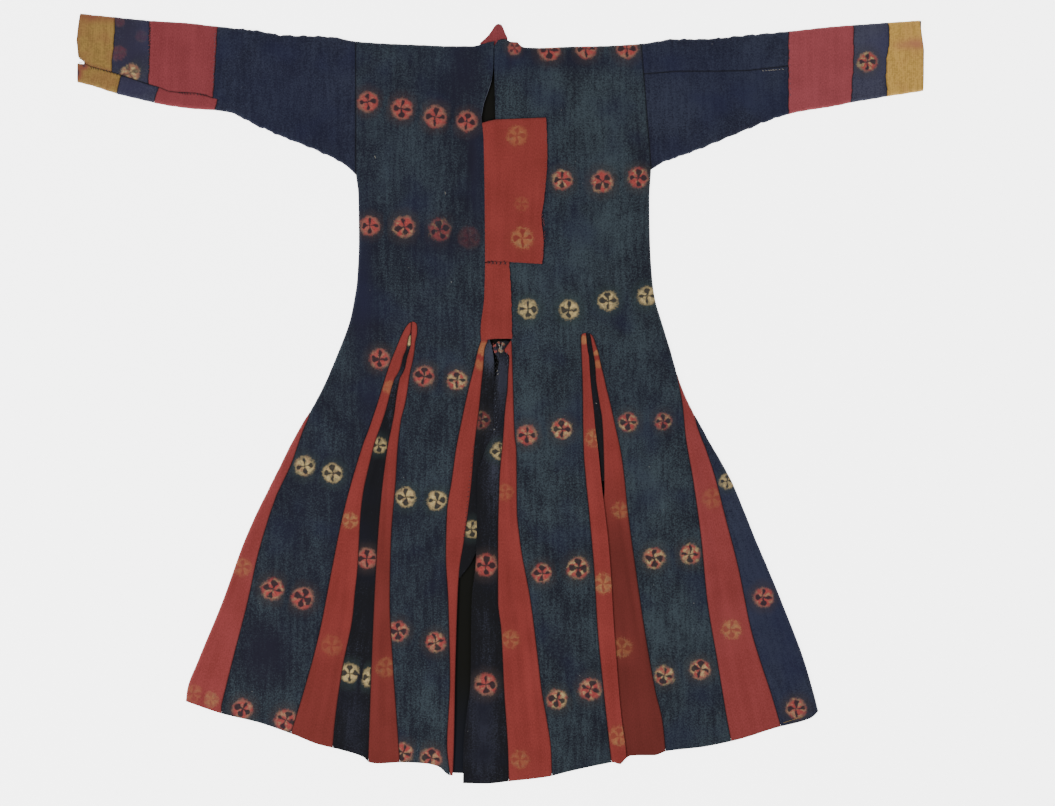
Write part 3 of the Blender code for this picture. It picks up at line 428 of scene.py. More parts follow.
# %% Ridges and troughs of the front
THICK = 1.3
RIM = 1.6
FOLD_RADIUS = 6.5
FOLD_HEIGHT = 7.0
FOLD_REACH = 25.0
BODY_HEIGHT = 5.8
EDGE_HEIGHT = 4.9
EDGE_REACH = 80.0
NECK_RISE = 1.4
NECK_REACH = 40.0
CREASE_GAIN = 1.35

# Places are pixels of the picture, width and height are in millimetres
CREASES = table(
    "x1 y1 x2 y2 width height",
    (473, 143, 471, 205, 3.5, -1.6), (510, 54, 508, 104, 5.0, -1.5), (520, 56, 524, 96, 7.0, 0.8),
    (420, 60, 428, 150, 14.0, 0.6), (395, 130, 405, 300, 18.0, -0.7), (440, 260, 430, 380, 16.0, 0.8),
    (372, 190, 368, 290, 8.0, 0.7), (365, 300, 330, 420, 10.0, 0.8), (560, 200, 556, 330, 16.0, 0.7),
    (600, 200, 612, 330, 14.0, -0.7), (640, 200, 634, 300, 9.0, 0.8), (580, 330, 570, 470, 16.0, -0.7),
    (545, 400, 540, 520, 10.0, 0.7), (350, 400, 300, 560, 16.0, 0.8), (320, 480, 280, 640, 14.0, -0.8),
    (300, 560, 262, 700, 12.0, 0.8), (425, 420, 420, 560, 12.0, 0.8), (440, 520, 428, 700, 12.0, -0.9),
    (412, 600, 402, 730, 7.0, 0.7), (384, 420, 362, 520, 5.0, 1.1), (350, 560, 336, 690, 7.0, -1.1),
    (360, 560, 346, 640, 5.0, 0.8), (390, 450, 383, 560, 4.0, -0.8), (381, 590, 378, 720, 6.0, 0.9),
    (340, 640, 322, 720, 8.0, 0.9), (486, 380, 478, 470, 3.5, 0.9), (508, 420, 509, 560, 5.0, 0.8),
    (512, 560, 524, 690, 6.5, -1.0), (524, 620, 540, 745, 5.0, 1.0), (505, 500, 512, 600, 4.0, -0.7),
    (614, 400, 622, 500, 4.0, 0.9), (618, 500, 640, 640, 5.0, -1.3), (628, 520, 650, 690, 5.0, 1.1),
    (624, 600, 632, 740, 6.0, -1.2), (640, 640, 655, 745, 6.0, 0.9), (690, 420, 705, 560, 8.0, 0.7),
    (712, 520, 728, 660, 9.0, -0.7), (700, 600, 716, 720, 8.0, 0.7), (748, 560, 775, 690, 9.0, 0.8),
    (560, 480, 575, 640, 14.0, 0.8), (590, 520, 600, 720, 10.0, -0.8), (660, 440, 680, 640, 14.0, 0.8),
    (640, 380, 655, 520, 10.0, -0.7), (684, 560, 700, 700, 9.0, -0.7), (480, 640, 482, 760, 6.0, -0.9),
    (492, 560, 496, 720, 6.0, 0.8), (200, 660, 232, 560, 9.0, 0.8), (180, 690, 205, 640, 8.0, -0.6),
    (225, 600, 250, 520, 7.0, -0.6), (350, 60, 300, 90, 12.0, 0.8), (340, 120, 270, 70, 14.0, -0.8),
    (350, 150, 290, 120, 9.0, 0.9), (250, 50, 320, 60, 12.0, -0.5), (230, 92, 246, 103, 4.0, -0.8),
    (660, 60, 730, 50, 12.0, -0.6), (655, 140, 720, 112, 10.0, 0.9), (660, 100, 760, 80, 14.0, 0.6),
    (692, 72, 698, 116, 4.0, -0.8), (780, 40, 850, 44, 10.0, 0.5), (820, 60, 900, 66, 12.0, -0.4),
    (170, 40, 172, 88, 10.0, 0.6), (190, 36, 194, 90, 9.0, -0.5), (110, 25, 112, 60, 9.0, 0.5),
)


def relief(across, down):
    """Height = the sum over the creases of gain * height * bell(distance / width) * fade at the
    ends."""
    x1, y1 = picture(CREASES["x1"], CREASES["y1"])
    x2, y2 = picture(CREASES["x2"], CREASES["y2"])
    total = 0.25 * wave(across / 130 + down / 410, 1.0) + 0.25 * wave(down / 170 - across / 390, 2.0)
    for a, b, c, d, width, height in zip(x1, y1, x2, y2, CREASES["width"], CREASES["height"]):
        length = np.hypot(c - a, d - b)
        along = ((across - a) * (c - a) + (down - b) * (d - b)) / length**2
        bend = 0.16 * width * np.sin(5 * along + a)
        off = ((across - a) * (d - b) - (down - b) * (c - a)) / length + bend
        fade = ramp((along + 0.15) / 0.4) * ramp((1.15 - along) / 0.4)
        total = total + CREASE_GAIN * height * fade * np.exp(-((off / width) ** 2))
    return total


def fold_terms(distance):
    """Cosine and sine of the roll at this distance in from a fold, and how near the fold is."""
    cosine = np.clip(1 - distance / FOLD_RADIUS, 0, 1)
    near = np.exp(-((np.maximum(distance - FOLD_RADIUS, 0) / FOLD_REACH) ** 2))
    return cosine, np.sqrt(1 - cosine**2), near


def rolled(folds, base, bumps):
    """Height = rim + product of the sines * (base or fold height + bumps - rim). The inner side
    lies one thickness away, square to that surface."""
    sines = 1.0
    near = 0.0
    inward_across = 0.0
    inward_down = 0.0
    for distance, across, down in folds:
        cosine, sine, closeness = fold_terms(distance)
        sines = sines * sine
        near = np.maximum(near, closeness)
        inward_across = inward_across + cosine * across
        inward_down = inward_down + cosine * down
    level = base + np.maximum(FOLD_HEIGHT - base, 0) * near + bumps * (1 - 0.7 * near)
    height = RIM + sines * (level - RIM)
    return height, THICK * inward_across, THICK * inward_down, -THICK * sines


def points(across, down, height):
    """Millimetres on the flat robe, in one row of three for each point."""
    return np.stack(np.broadcast_arrays(across, down, height), axis=-1).reshape(-1, 3)


def body_front(half, share, across):
    """Outer and inner points of the front of the body. Its side is a fold below the underarm,
    its top is a fold outside the neck, and near a corner the distance is that to the corner."""
    down = half.down(share, across)
    edge = half.line(half.fold, share)
    below = down >= half.underarm - 0.01
    arm_across = half.way * (half.armhole(down) - across)
    arm_down = np.maximum(half.underarm - down, 0)
    arm = np.hypot(arm_across, arm_down)
    side = np.where(below, np.maximum(half.way * (edge - across), 0), arm)
    safe = np.maximum(arm, 1e-9)
    side_across = np.where(below, -half.way, -half.way * arm_across / safe)
    side_down = np.where(below, 0.0, -arm_down / safe)
    top = np.maximum(down - half.top(across), 0)
    past = np.maximum(half.way * (half.neck - across), 0)
    neck = np.hypot(top, past)
    safe = np.maximum(neck, 1e-9)
    neck_across = np.where(past > 0, -half.way * past / safe, 0.0)
    neck_down = np.where(past > 0, top / safe, 1.0)
    to_hem = half.hem(across) - down
    base = EDGE_HEIGHT + (BODY_HEIGHT - EDGE_HEIGHT) * ramp(to_hem / EDGE_REACH)
    base = base + NECK_RISE * np.exp(-((np.hypot(across, down) / NECK_REACH) ** 2))
    folds = [(side, side_across, side_down), (neck, neck_across, neck_down)]
    height, inward_across, inward_down, fall = rolled(folds, base, relief(across, down))
    outer = points(across, down, height)
    inner = points(across + inward_across, down + inward_down, height + fall)
    return outer, inner


print("deepest trough", CREASES["height"].min(), "mm, highest ridge", CREASES["height"].max(), "mm")

# %% [markdown]
# ## From points to a piece of cloth
#
# A piece is a thin closed shell: an outer side, an inner side one thickness below it, and a
# strip of faces round the rim that joins them. Columns of points crowd together beside a seam
# and at a fold, where the surface bends most. Each point also carries three notes for the dye:
# where it lies in the nearest tied spot, what that spot looks like, and its shading: painted
# shade in the groove beside a seam, paler and darker tone, and a third number that is a bluer
# tint on dark cloth, a stain on yellow cloth, and on red cloth a darker red towards the hem,
# which on one strip is painted shade under a fold.

# %% Columns and shells
STEP = 4.2
NEAR = {
    "seam": np.array([0, 0.6, 1.5, 3.0]),
    "fold": np.array([0, 0.25, 0.8, 1.7, 2.8, 4.2, 6.0, 8.0]),
}
NEAR_TIP = np.array([-0.8, 0.05, 0.6, 1.4, 2.6, 4.0, 6.5, 10.0, 14.0])


def spread(left, right, step, kinds):
    """Across of the columns of each row: crowded near both edges, then even steps between."""
    width = np.maximum(right - left, 0.3)[:, None]
    near = [NEAR[kind] for kind in kinds]
    scale = [np.minimum(1, 0.3 * width / gap[-1]) for gap in near]
    start = left[:, None] + near[0] * scale[0]
    end = left[:, None] + width - near[1][::-1] * scale[1]
    count = max(2, int(width.max() / step))
    part = np.linspace(0, 1, count + 1)[1:-1]
    middle = start[:, -1:] + part * (end[:, :1] - start[:, -1:])
    return np.hstack([start, middle, end])


def shares_of(half, start, end=1.0, top_fold=False, tips=()):
    """Shares of the rows from start to end, closer together at a fold along the top and just
    below each tip of an insertion."""
    length = float(half.hem(0.0))
    count = max(3, int((end - start) * length / STEP))
    rows = np.linspace(start, end, count)
    if top_fold:
        rolled_rows = NEAR["fold"] / length
        rows = np.concatenate([rolled_rows, rows[rows > rolled_rows[-1] + 0.002]])
    for tip in tips:
        near = tip + NEAR_TIP / length
        near = near[(near >= start) & (near < end)]
        far = (rows < tip - 0.0012) | (rows > tip + NEAR_TIP[-1] / length + 0.0006)
        rows = np.sort(np.concatenate([rows[far], near]))
    return rows


def grid_quads(index):
    corners = (index[:-1, :-1], index[1:, :-1], index[1:, 1:], index[:-1, 1:])
    return np.stack([c.ravel() for c in corners], axis=1)


def slit_quads(rows, sizes, slit):
    """Quads over two blocks of columns, which share a column in the rows above the slit."""
    one = np.arange(rows * sizes[0]).reshape(rows, sizes[0])
    two = one.size + np.arange(rows * sizes[1]).reshape(rows, sizes[1])
    two[~slit, 0] = one[~slit, -1]
    return np.vstack([grid_quads(one), grid_quads(two)])


def rim_quads(quads, count):
    """The faces round the rim: each edge that only one quad uses, joined to the inner side."""
    edges = np.concatenate([quads[:, [k, (k + 1) % 4]] for k in range(4)])
    key = edges[:, 0] * (count + 1) + edges[:, 1]
    other = edges[:, 1] * (count + 1) + edges[:, 0]
    rim = edges[~np.isin(key, other)]
    return np.stack([rim[:, 1], rim[:, 0], rim[:, 0] + count, rim[:, 1] + count], axis=1)


def mesh_of(name, vertices, quads, finishes, finish_index=None):
    """A smooth mesh from whole arrays of vertices, in metres, and quads."""
    mesh = bpy.data.meshes.new(name)
    mesh.vertices.add(len(vertices))
    mesh.vertices.foreach_set("co", np.asarray(vertices, np.float32).ravel())
    mesh.loops.add(quads.size)
    mesh.loops.foreach_set("vertex_index", quads.astype(np.int32).ravel())
    mesh.polygons.add(len(quads))
    mesh.polygons.foreach_set("loop_start", np.arange(0, quads.size, 4, dtype=np.int32))
    mesh.polygons.foreach_set("use_smooth", np.ones(len(quads), bool))
    for finish in finishes:
        mesh.materials.append(finish)
    if finish_index is not None:
        mesh.polygons.foreach_set("material_index", finish_index.astype(np.int32))
    mesh.update(calc_edges=True)
    mesh.validate()
    made = bpy.data.objects.new(name, mesh)
    bpy.context.scene.collection.objects.link(made)
    return made


def note(made, name, values):
    """Three numbers for each point, which a material reads by name."""
    layer = made.data.attributes.new(name, "FLOAT_VECTOR", "POINT")
    layer.data.foreach_set("vector", np.asarray(values, np.float32).ravel())


print("columns beside a fold:", NEAR["fold"].tolist())

# %% [markdown]
# ## Spots tied into the cloth
#
# Each tied spot is a fuzzy disc with a pale rim and a cross of four dark petals. The tables give
# each one by its pixel in the picture: its radius and turn, how cream it is, how strongly it took
# the dye, and how dark its petals are. The back's spots don't show, so they follow in even rows.

# %% Spots
SPOT_COLUMNS = "x y size turn cream strength petals"


def spots(*rows):
    """Rows of spots. A row of five has full strength and dark petals."""
    full = [row + (1.0, 1.0)[len(row) - 5:] if len(row) < 7 else row for row in rows]
    return table(SPOT_COLUMNS, *full)


def spot_rows(centre_px, side_px, downs):
    """Even rows of spots for a half that doesn't show: two or three to a row."""
    rows = []
    for k, down_mm in enumerate(downs):
        for m in range(3):
            x = centre_px + (side_px - centre_px) * (0.18 + 0.31 * m) * (1 + 0.0004 * down_mm)
            y = SHOULDER_PX + down_mm / PIXEL_MM + 2.0 * np.sin(2.1 * m + k)
            rows.append((x, y, 11.5, 8.0 * np.sin(3 * k + m), 0.3 + 0.12 * (k % 4)))
    return spots(*rows)


BACK_DOWNS = (100, 310, 540, 740, 930, 1110)
NO_SPOTS = spots((-900, -900, 5, 0, 0, 0, 0))
SPOTS = {
    "front_left": spots(
        (368, 102, 11, 5, 0.0), (402, 109, 11.5, -5, 0.0), (435.5, 117, 12, -8, 0.1),
        (467, 122, 11, -10, 0.05), (370, 226, 10.5, 0, 0.1), (404, 227, 12, 10, 0.3),
        (440, 230, 12, 20, 0.3, 0.5), (469, 238, 12, 10, 0.1, 0.13, 0.5), (380, 359, 11, 0, 0.2),
        (424, 376, 11, -10, 0.2), (457, 380, 11, 0, 0.45), (305, 466, 11, 10, 0.8),
        (333, 473, 11, 0, 0.85), (406, 497, 11, 0, 0.85), (437, 500, 11, 0, 0.85),
        (273, 589, 12, -15, 0.3), (303, 598, 12, -25, 0.2), (398, 631, 11, 0, 0.3),
        (436, 642, 11, 20, 0.3), (243, 709, 11, -30, 0.2), (286, 720, 12, -25, 0.25),
        (403, 752, 11, -20, 0.3), (431, 758, 11.5, -10, 0.3)),
    "front_right": spots(
        (514.5, 48.5, 7.5, 40, 0.15, 0.85, 0.8), (549, 50, 12, 0, 0.2), (586, 49, 11, 0, 0.2),
        (627, 49, 11.5, 0, 0.2), (562, 180, 11, 0, 0.35), (602, 182, 12, 45, 0.3),
        (638, 178, 11, 0, 0.3), (528, 309, 11, 0, 0.9), (569, 310, 11, 0, 0.9),
        (608, 301, 11, 0, 0.9), (647, 296, 11, 0, 0.9), (527, 435, 11, 0, 0.3),
        (562, 429, 11, 0, 0.45), (628, 422, 10.5, 0, 0.4, 0.85), (663, 421, 9.5, 0, 0.35, 0.7),
        (542, 573, 10.5, 0, 0.3), (578, 568, 12, 0, 0.45), (654, 558, 11.5, 0, 0.5),
        (690, 554, 11, 0, 0.45), (557, 699, 11, -15, 0.5), (590, 689, 12, -20, 0.3),
        (664, 675, 11, -10, 0.5, 0.9), (700, 669, 11, -10, 0.4)),
    "gore_left_dark": spots(
        (409.8, 340.5, 6, 0, 1.0, 1.0, 0), (379, 445, 9, 0, 0.9, 0.8), (367, 558, 11, 0, 0.15),
        (350, 673, 11, 0, 0.9), (371, 677, 11, 0, 0.9)),
    "gore_centre_dark_1": spots((481, 420, 10, 0, 0.4, 0.4), (472, 529, 10, 0, 0.9, 0.8)),
    "gore_centre_dark_2": spots(
        (494.8, 345.5, 3.0, 0, 0, 1.0, 0), (495.6, 351, 2.4, 0, 0, 0.9, 0),
        (500.8, 350, 3.0, 0, 0.5, 0.75, 0), (502.5, 345, 2.6, 0, 0.45, 0.7, 0),
        (498.6, 343.4, 2.2, 0, 0.4, 0.5, 0),
        (500, 451, 10, 0, 0.9), (486, 565, 12, 0, 0.2), (486, 684, 12, 0, 0.2)),
    "side_right_dark": spots(
        (727, 481, 9, 0, 0.9, 0.8), (763, 597, 11, 0, 0.25), (796, 708, 11, 0, 0.3)),
    "sleeve_left_band_dark": spots(
        (130.5, 73.5, 11, 20, 0.65, 0.85, 0.7), (119, 54, 9, 0, 0.1, 0.2, 0.3),
        (120, 22, 6, 0, 0, 0.14, 0), (142, 37, 7, 0, 0.3, 0.07, 0)),
    "sleeve_right_band_dark": spots((867, 62, 11, 0, 0.45)),
    "breast_flap": spots(
        (517, 136, 11, 0, 0.4, 0.5, 0.8), (521.5, 204, 8, 0, 0.4, 0.2, 0.8),
        (522.5, 238, 12, 0, 0.5, 0.6, 1)),
    "gore_left_red_1": spots(
        (390, 387, 7.5, 0, 0.36, 0.5, 0.2), (350, 520, 9, 0, 0.7, 0.55, 0.8),
        (332, 645, 11, 0, 0.3, 0.25, 0.8)),
    "gore_left_red_2": spots((386, 667, 11, 0, 0.5, 0.3, 0.8)),
    "gore_centre_red_1": spots((484, 350, 9, 0, 0.2, 0.7, 0), (481, 364, 7, 0, 0.1, 0.5, 0)),
    "gore_centre_red_2": spots(
        (505, 492, 9, 0, 0.4, 0.3, 0.8), (510, 639, 10, 0, 0.5, 0.4, 0.8),
        (520, 759, 10, 0, 0.5, 0.35, 0.8)),
    "gore_right_red_1": spots(
        (584, 340, 5, 0, 0.4, 0.7, 0), (594, 438, 10, 0, 0.6, 0.5, 0.8),
        (603, 583, 11, 0, 0.6, 0.6, 0.8), (619, 736, 11, 0, 0.5, 0.5, 0.8)),
    "gore_right_red_2": spots(
        (596.5, 354, 4, 0, 0.4, 0.9, 0), (598, 364, 5, 0, 0.2, 0.6, 0),
        (620, 510, 9, 0, 0.5, 0.4, 0.8), (622, 648, 11, 0, 0.5, 0.4, 0.8)),
    "side_left_red": spots(
        (243, 567, 10, 0, 0.4, 0.4, 0.8), (194, 693, 10, 0, 0.4, 0.3, 0.8),
        (211, 699, 9, 0, 0.8, 0.4, 0.5)),
    "side_right_red": spots((712, 498, 11, 0, 0.3, 0.3, 0.8), (731, 629, 11, 0, 0.6, 0.6, 0.8)),
    "back_left": spot_rows(500, 380, BACK_DOWNS),
    "back_right": spot_rows(500, 620, BACK_DOWNS),
}


def spot_notes(place, faces, known):
    """For each point: where it lies in the nearest spot, in radii of that spot, with a number
    that makes each spot different, and then strength, cream and petals of that spot."""
    centre_across, centre_down = picture(known["x"], known["y"])
    radius = known["size"] * PIXEL_MM
    off_across = place[:, 0, None] - centre_across
    off_down = place[:, 1, None] - centre_down
    distance = np.hypot(off_across, off_down) / radius
    nearest = distance.argmin(axis=1)
    row = np.arange(len(place))
    turn = np.radians(known["turn"])[nearest]
    x = off_across[row, nearest] / radius[nearest]
    y = -off_down[row, nearest] / radius[nearest]
    strength = np.where(distance[row, nearest] < 2.2, known["strength"][nearest], 0.0)
    of_face = nearest[faces]
    mixed = (of_face != of_face[:, :1]).any(axis=1)
    strength[np.unique(faces[mixed])] = 0.0
    local = np.stack([x * np.cos(turn) + y * np.sin(turn),
                      y * np.cos(turn) - x * np.sin(turn), 3.7 * nearest + 1.3], axis=1)
    look = np.stack([strength, known["cream"][nearest], known["petals"][nearest]], axis=1)
    return local, look


print("spots by name:", {name: len(rows["x"]) for name, rows in SPOTS.items()})

# %% [markdown]
# ## The dyes
#
# Every colour is worked out from the place on the cloth, never from a picture. Indigo is a dark
# blue mottled with teal, red is madder with fine upright threads, and yellow shows its square
# weave. The spots are laid over both dark and red cloth by one recipe, described in the code.

# %% Short names for the nodes of a material


class Dye:
    """Short names for the nodes of one material."""

    def __init__(self, name, roughness=0.92, sheen=0.25):
        self.material = bpy.data.materials.new(name)
        self.material.use_nodes = True
        self.tree = self.material.node_tree
        self.shader = principled(self.material)
        self.shader.inputs["Roughness"].default_value = roughness
        self.shader.inputs["Sheen Weight"].default_value = sheen
        self.shader.inputs["Sheen Roughness"].default_value = 0.5
        self.shader.inputs["Specular IOR Level"].default_value = 0.15
        self.place = self.add("ShaderNodeTexCoord").outputs["Object"]
        self.weave = self.named("weave")

    def add(self, kind, *values, **settings):
        node = self.tree.nodes.new(kind)
        for name, value in settings.items():
            setattr(node, name, value)
        for socket, value in zip(node.inputs, values):
            self.put(socket, value)
        return node

    def put(self, socket, value):
        if isinstance(value, bpy.types.NodeSocket):
            self.tree.links.new(value, socket)
        elif value is not None:
            socket.default_value = value

    def named(self, name):
        return self.add("ShaderNodeAttribute", attribute_name=name).outputs["Vector"]

    def parts(self, vector):
        return self.add("ShaderNodeSeparateXYZ", vector).outputs

    def maths(self, operation, a, b=None):
        return self.add("ShaderNodeMath", a, b, operation=operation).outputs[0]

    def plus(self, a, b):
        return self.maths("ADD", a, b)

    def less(self, a, b):
        return self.maths("SUBTRACT", a, b)

    def times(self, a, b):
        return self.maths("MULTIPLY", a, b)

    def stretched(self, vector, scale):
        return self.add("ShaderNodeVectorMath", vector, scale, operation="MULTIPLY").outputs[0]

    def soft(self, value, low, high, start=0.0, end=1.0):
        node = self.add("ShaderNodeMapRange", value, interpolation_type="SMOOTHSTEP")
        for name, number in (("From Min", low), ("From Max", high), ("To Min", start), ("To Max", end)):
            node.inputs[name].default_value = number
        return node.outputs[0]

    def noise(self, vector, scale, detail=2.0):
        return self.add("ShaderNodeTexNoise", vector, None, scale, detail).outputs[0]

    def mix(self, factor, a, b):
        node = self.add("ShaderNodeMix", data_type="RGBA")
        for name, value in (("Factor", factor), ("A", a), ("B", b)):
            kind = "Factor_Float" if name == "Factor" else f"{name}_Color"
            socket = next(s for s in node.inputs if s.identifier == kind)
            if isinstance(value, tuple):
                value = (*value, 1.0)
            self.put(socket, value)
        return next(s for s in node.outputs if s.identifier == "Result_Color")

    def finish(self, colour, height=None, depth=0.0004):
        self.put(self.shader.inputs["Base Color"], colour)
        if height is not None:
            bump = self.add("ShaderNodeBump")
            bump.inputs["Strength"].default_value = 0.6
            bump.inputs["Distance"].default_value = depth
            self.put(bump.inputs["Height"], height)
            self.put(self.shader.inputs["Normal"], bump.outputs[0])
        return self.material


print("short names:", ", ".join(word for word in vars(Dye) if not word.startswith("_")))

# %% [markdown]
# ### The tied spots
#
# A pinch of cloth was tied with thread before it was dyed, so that the dye only crept in along
# the folds. It left a pale, ragged disc with four dark petals. A brush could paint it, but a
# formula in the spot's own place keeps every spot sharp and each a little different.

# %% Spots in the dye
RED_PATCH = (0.33, 0.052, 0.045)
RIM_PATCH = (0.26, 0.125, 0.085)
CREAM_PATCH = (0.50, 0.37, 0.16)
CREAM_DULL = (0.115, 0.112, 0.072)
PETAL = (0.0085, 0.0085, 0.013)


def spot_shape(dye, local, cream, petals, ragged):
    """How far a point is inside a petal and inside the disc, and r, its distance from the middle.
    The place is bent a little by noise. Along the nearer arm of the cross u = max(|x|, |y|) and
    across it w = min(|x|, |y|). A petal is where w < 0.05 + 0.17 exp(-((u - 0.55) / 0.24)^2) and
    u < 0.8, times an uneven factor. The disc ends near r = 0.9, sooner where it is cream."""
    bend = dye.parts(dye.add("ShaderNodeTexNoise", local, None, 1.7, 3.0).outputs[1])
    place = dye.parts(local)
    x = dye.plus(place[0], dye.times(dye.less(bend[0], 0.5), 0.45))
    y = dye.plus(place[1], dye.times(dye.less(bend[1], 0.5), 0.45))
    r = dye.maths("SQRT", dye.plus(dye.times(x, x), dye.times(y, y)))
    wide_x = dye.maths("ABSOLUTE", x)
    wide_y = dye.maths("ABSOLUTE", y)
    u = dye.maths("MAXIMUM", wide_x, wide_y)
    w = dye.maths("MINIMUM", wide_x, wide_y)
    bell = dye.maths("DIVIDE", dye.less(u, 0.55), 0.24)
    bell = dye.maths("EXPONENT", dye.times(dye.times(bell, bell), -1.0))
    width = dye.plus(dye.times(bell, 0.17), 0.05)
    width = dye.times(width, dye.soft(dye.noise(local, 0.9, 0.0), 0.3, 0.7, 0.6, 1.5))
    grain = dye.noise(dye.place, 430.0, 2.0)
    rough = dye.times(dye.less(grain, 0.5), 0.25)
    leaf = dye.soft(dye.plus(dye.less(width, w), rough), -0.07, 0.06)
    leaf = dye.times(leaf, dye.soft(u, 0.68, 0.86, 1.0, 0.0))
    leaf = dye.times(leaf, dye.times(petals, 0.93))
    fuzz = dye.plus(r, dye.times(dye.less(grain, 0.5), ragged))
    fuzz = dye.plus(fuzz, dye.times(cream, 0.07))
    return leaf, dye.soft(fuzz, 0.70, 1.10, 1.0, 0.0), r, grain


def spot_dye(dye, local, r, grain, cream, petal, red, pale, cream_dye):
    """The colour inside a spot: red with pale patches and a pale rim, or cream with dull ones,
    and grains of the dark dye over it."""
    patch = dye.soft(dye.noise(local, 2.2, 3.0), 0.42, 0.62)
    inner = dye.mix(dye.times(patch, 0.55), red, pale)
    rim = dye.times(dye.soft(r, 0.60, 0.95), dye.soft(dye.noise(local, 1.3, 1.0), 0.35, 0.6))
    inner = dye.mix(rim, inner, pale)
    creamy = dye.soft(dye.plus(cream, dye.times(patch, 0.35)), 0.4, 1.0)
    dull = dye.soft(dye.noise(local, 2.8, 3.0), 0.44, 0.66, 0.0, 0.6)
    inner = dye.mix(creamy, inner, dye.mix(dull, cream_dye, CREAM_DULL))
    return dye.mix(dye.soft(grain, 0.35, 0.7, 0.38, 0.0), inner, petal)


def with_spots(dye, base, petal=PETAL, red=RED_PATCH, pale=RIM_PATCH, cream_dye=CREAM_PATCH,
               ragged=0.5, halo_dye=(0.022, 0.038, 0.036)):
    """The base colour with a soft halo round each spot, and the spot's petals and disc on it."""
    local = dye.named("spot")
    strength, cream, petals = dye.parts(dye.named("spot_look"))
    leaf, disc, r, grain = spot_shape(dye, local, cream, petals, ragged)
    inner = spot_dye(dye, local, r, grain, cream, petal, red, pale, cream_dye)
    halo = dye.times(dye.soft(r, 0.9, 1.9, 1.0, 0.0), dye.times(strength, 0.4))
    brown = tuple(0.14 * a + 0.8 * b for a, b in zip(pale, petal))
    base = dye.mix(halo, base, dye.mix(cream, brown, halo_dye))
    disc = dye.times(disc, strength)
    dark = dye.times(disc, dye.times(leaf, 0.75))
    cover = dye.times(dye.times(disc, 0.95), dye.less(1.0, leaf))
    return dye.mix(cover, dye.mix(dark, base, petal), inner)


print("a cream spot is", round(CREAM_PATCH[0] / PETAL[0]), "times as bright as its petals")

# %% [markdown]
# ### Indigo, madder and yellow
#
# Hand-dyed wool is never one colour. Sums of noises, stretched along the threads, choose between
# a deep and a bright shade of each dye, and the same noises raise the threads as a fine bump.

# %% Three dyes
WEAVE_STEP = 0.0034


def painted_seam_shade(dye, colour, amount):
    """Painted shade: the cloth is darkened in the groove beside a seam, by the groove's depth."""
    edge = dye.parts(dye.named("shade"))[0]
    return dye.mix(dye.times(edge, amount), colour, (0.003, 0.003, 0.004))


def make_indigo(name, dark, teal, blue, violet, shift=0.0):
    """Dark blue wool. The level that turns it from dark to teal is a sum of noises: clouds of
    15 and 4 cm, upright streaks, grain of 3 mm, threads, and the pale and dark places. The dark
    places turn violet and others are noted as blue."""
    dye = Dye(name, sheen=0.06)
    _, light, blueness = dye.parts(dye.named("shade"))
    streak = dye.noise(dye.stretched(dye.weave, (170.0, 16.0, 1.0)), 1.0, 3.0)
    thread = dye.noise(dye.stretched(dye.place, (900.0, 420.0, 1.0)), 1.0, 2.0)
    grain = dye.noise(dye.place, 400.0, 3.0)
    level = dye.times(light, 0.34)
    weights = ((dye.noise(dye.place, 6.5, 2.0), 0.35), (dye.noise(dye.place, 27.0, 3.0), 0.45),
               (streak, 0.6), (grain, 1.1), (thread, 0.9))
    for noise, weight in weights:
        level = dye.plus(level, dye.times(noise, weight))
    colour = dye.mix(dye.soft(level, 1.40 + shift, 2.16 + shift), dark, teal)
    drift = dye.soft(dye.noise(dye.place, 11.0, 2.0), 0.48, 0.72, 0.0, 0.4)
    colour = dye.mix(dye.plus(drift, dye.times(blueness, 0.6)), colour, blue)
    colour = dye.mix(dye.soft(light, -0.9, 0.0, 0.5, 0.0), colour, violet)
    lint = dye.soft(dye.noise(dye.place, 160.0, 1.0), 0.80, 0.83, 0.0, 0.5)
    colour = dye.mix(lint, colour, (0.20, 0.20, 0.19))
    colour = with_spots(dye, colour)
    return dye.finish(painted_seam_shade(dye, colour, 0.7), dye.plus(thread, grain))


def make_madder(name, deep, bright, spot=(0.34, 0.145, 0.055)):
    """Red wool with fine upright threads, softly streaked, and faint pale spots."""
    dye = Dye(name, sheen=0.06)
    streak = dye.noise(dye.stretched(dye.weave, (90.0, 5.0, 1.0)), 1.0, 2.0)
    thread = dye.noise(dye.stretched(dye.weave, (680.0, 300.0, 1.0)), 1.0, 2.0)
    cloud = dye.noise(dye.place, 16.0, 2.0)
    level = dye.plus(dye.times(streak, 0.25), dye.times(thread, 0.6))
    level = dye.plus(level, dye.times(cloud, 0.35))
    colour = dye.mix(dye.soft(level, 0.38, 0.82), deep, bright)
    # The third note darkens the red towards the hem: painted shade on the strip under the right
    # insertion's fold, a darker red on the left gores.
    colour = dye.mix(dye.parts(dye.named("shade"))[2], colour, (0.052, 0.0105, 0.0080))
    pale = tuple(0.85 * c for c in spot)
    colour = with_spots(dye, colour, deep, spot, pale, (0.40, 0.25, 0.085), 1.0, bright)
    return dye.finish(painted_seam_shade(dye, colour, 0.6), thread)


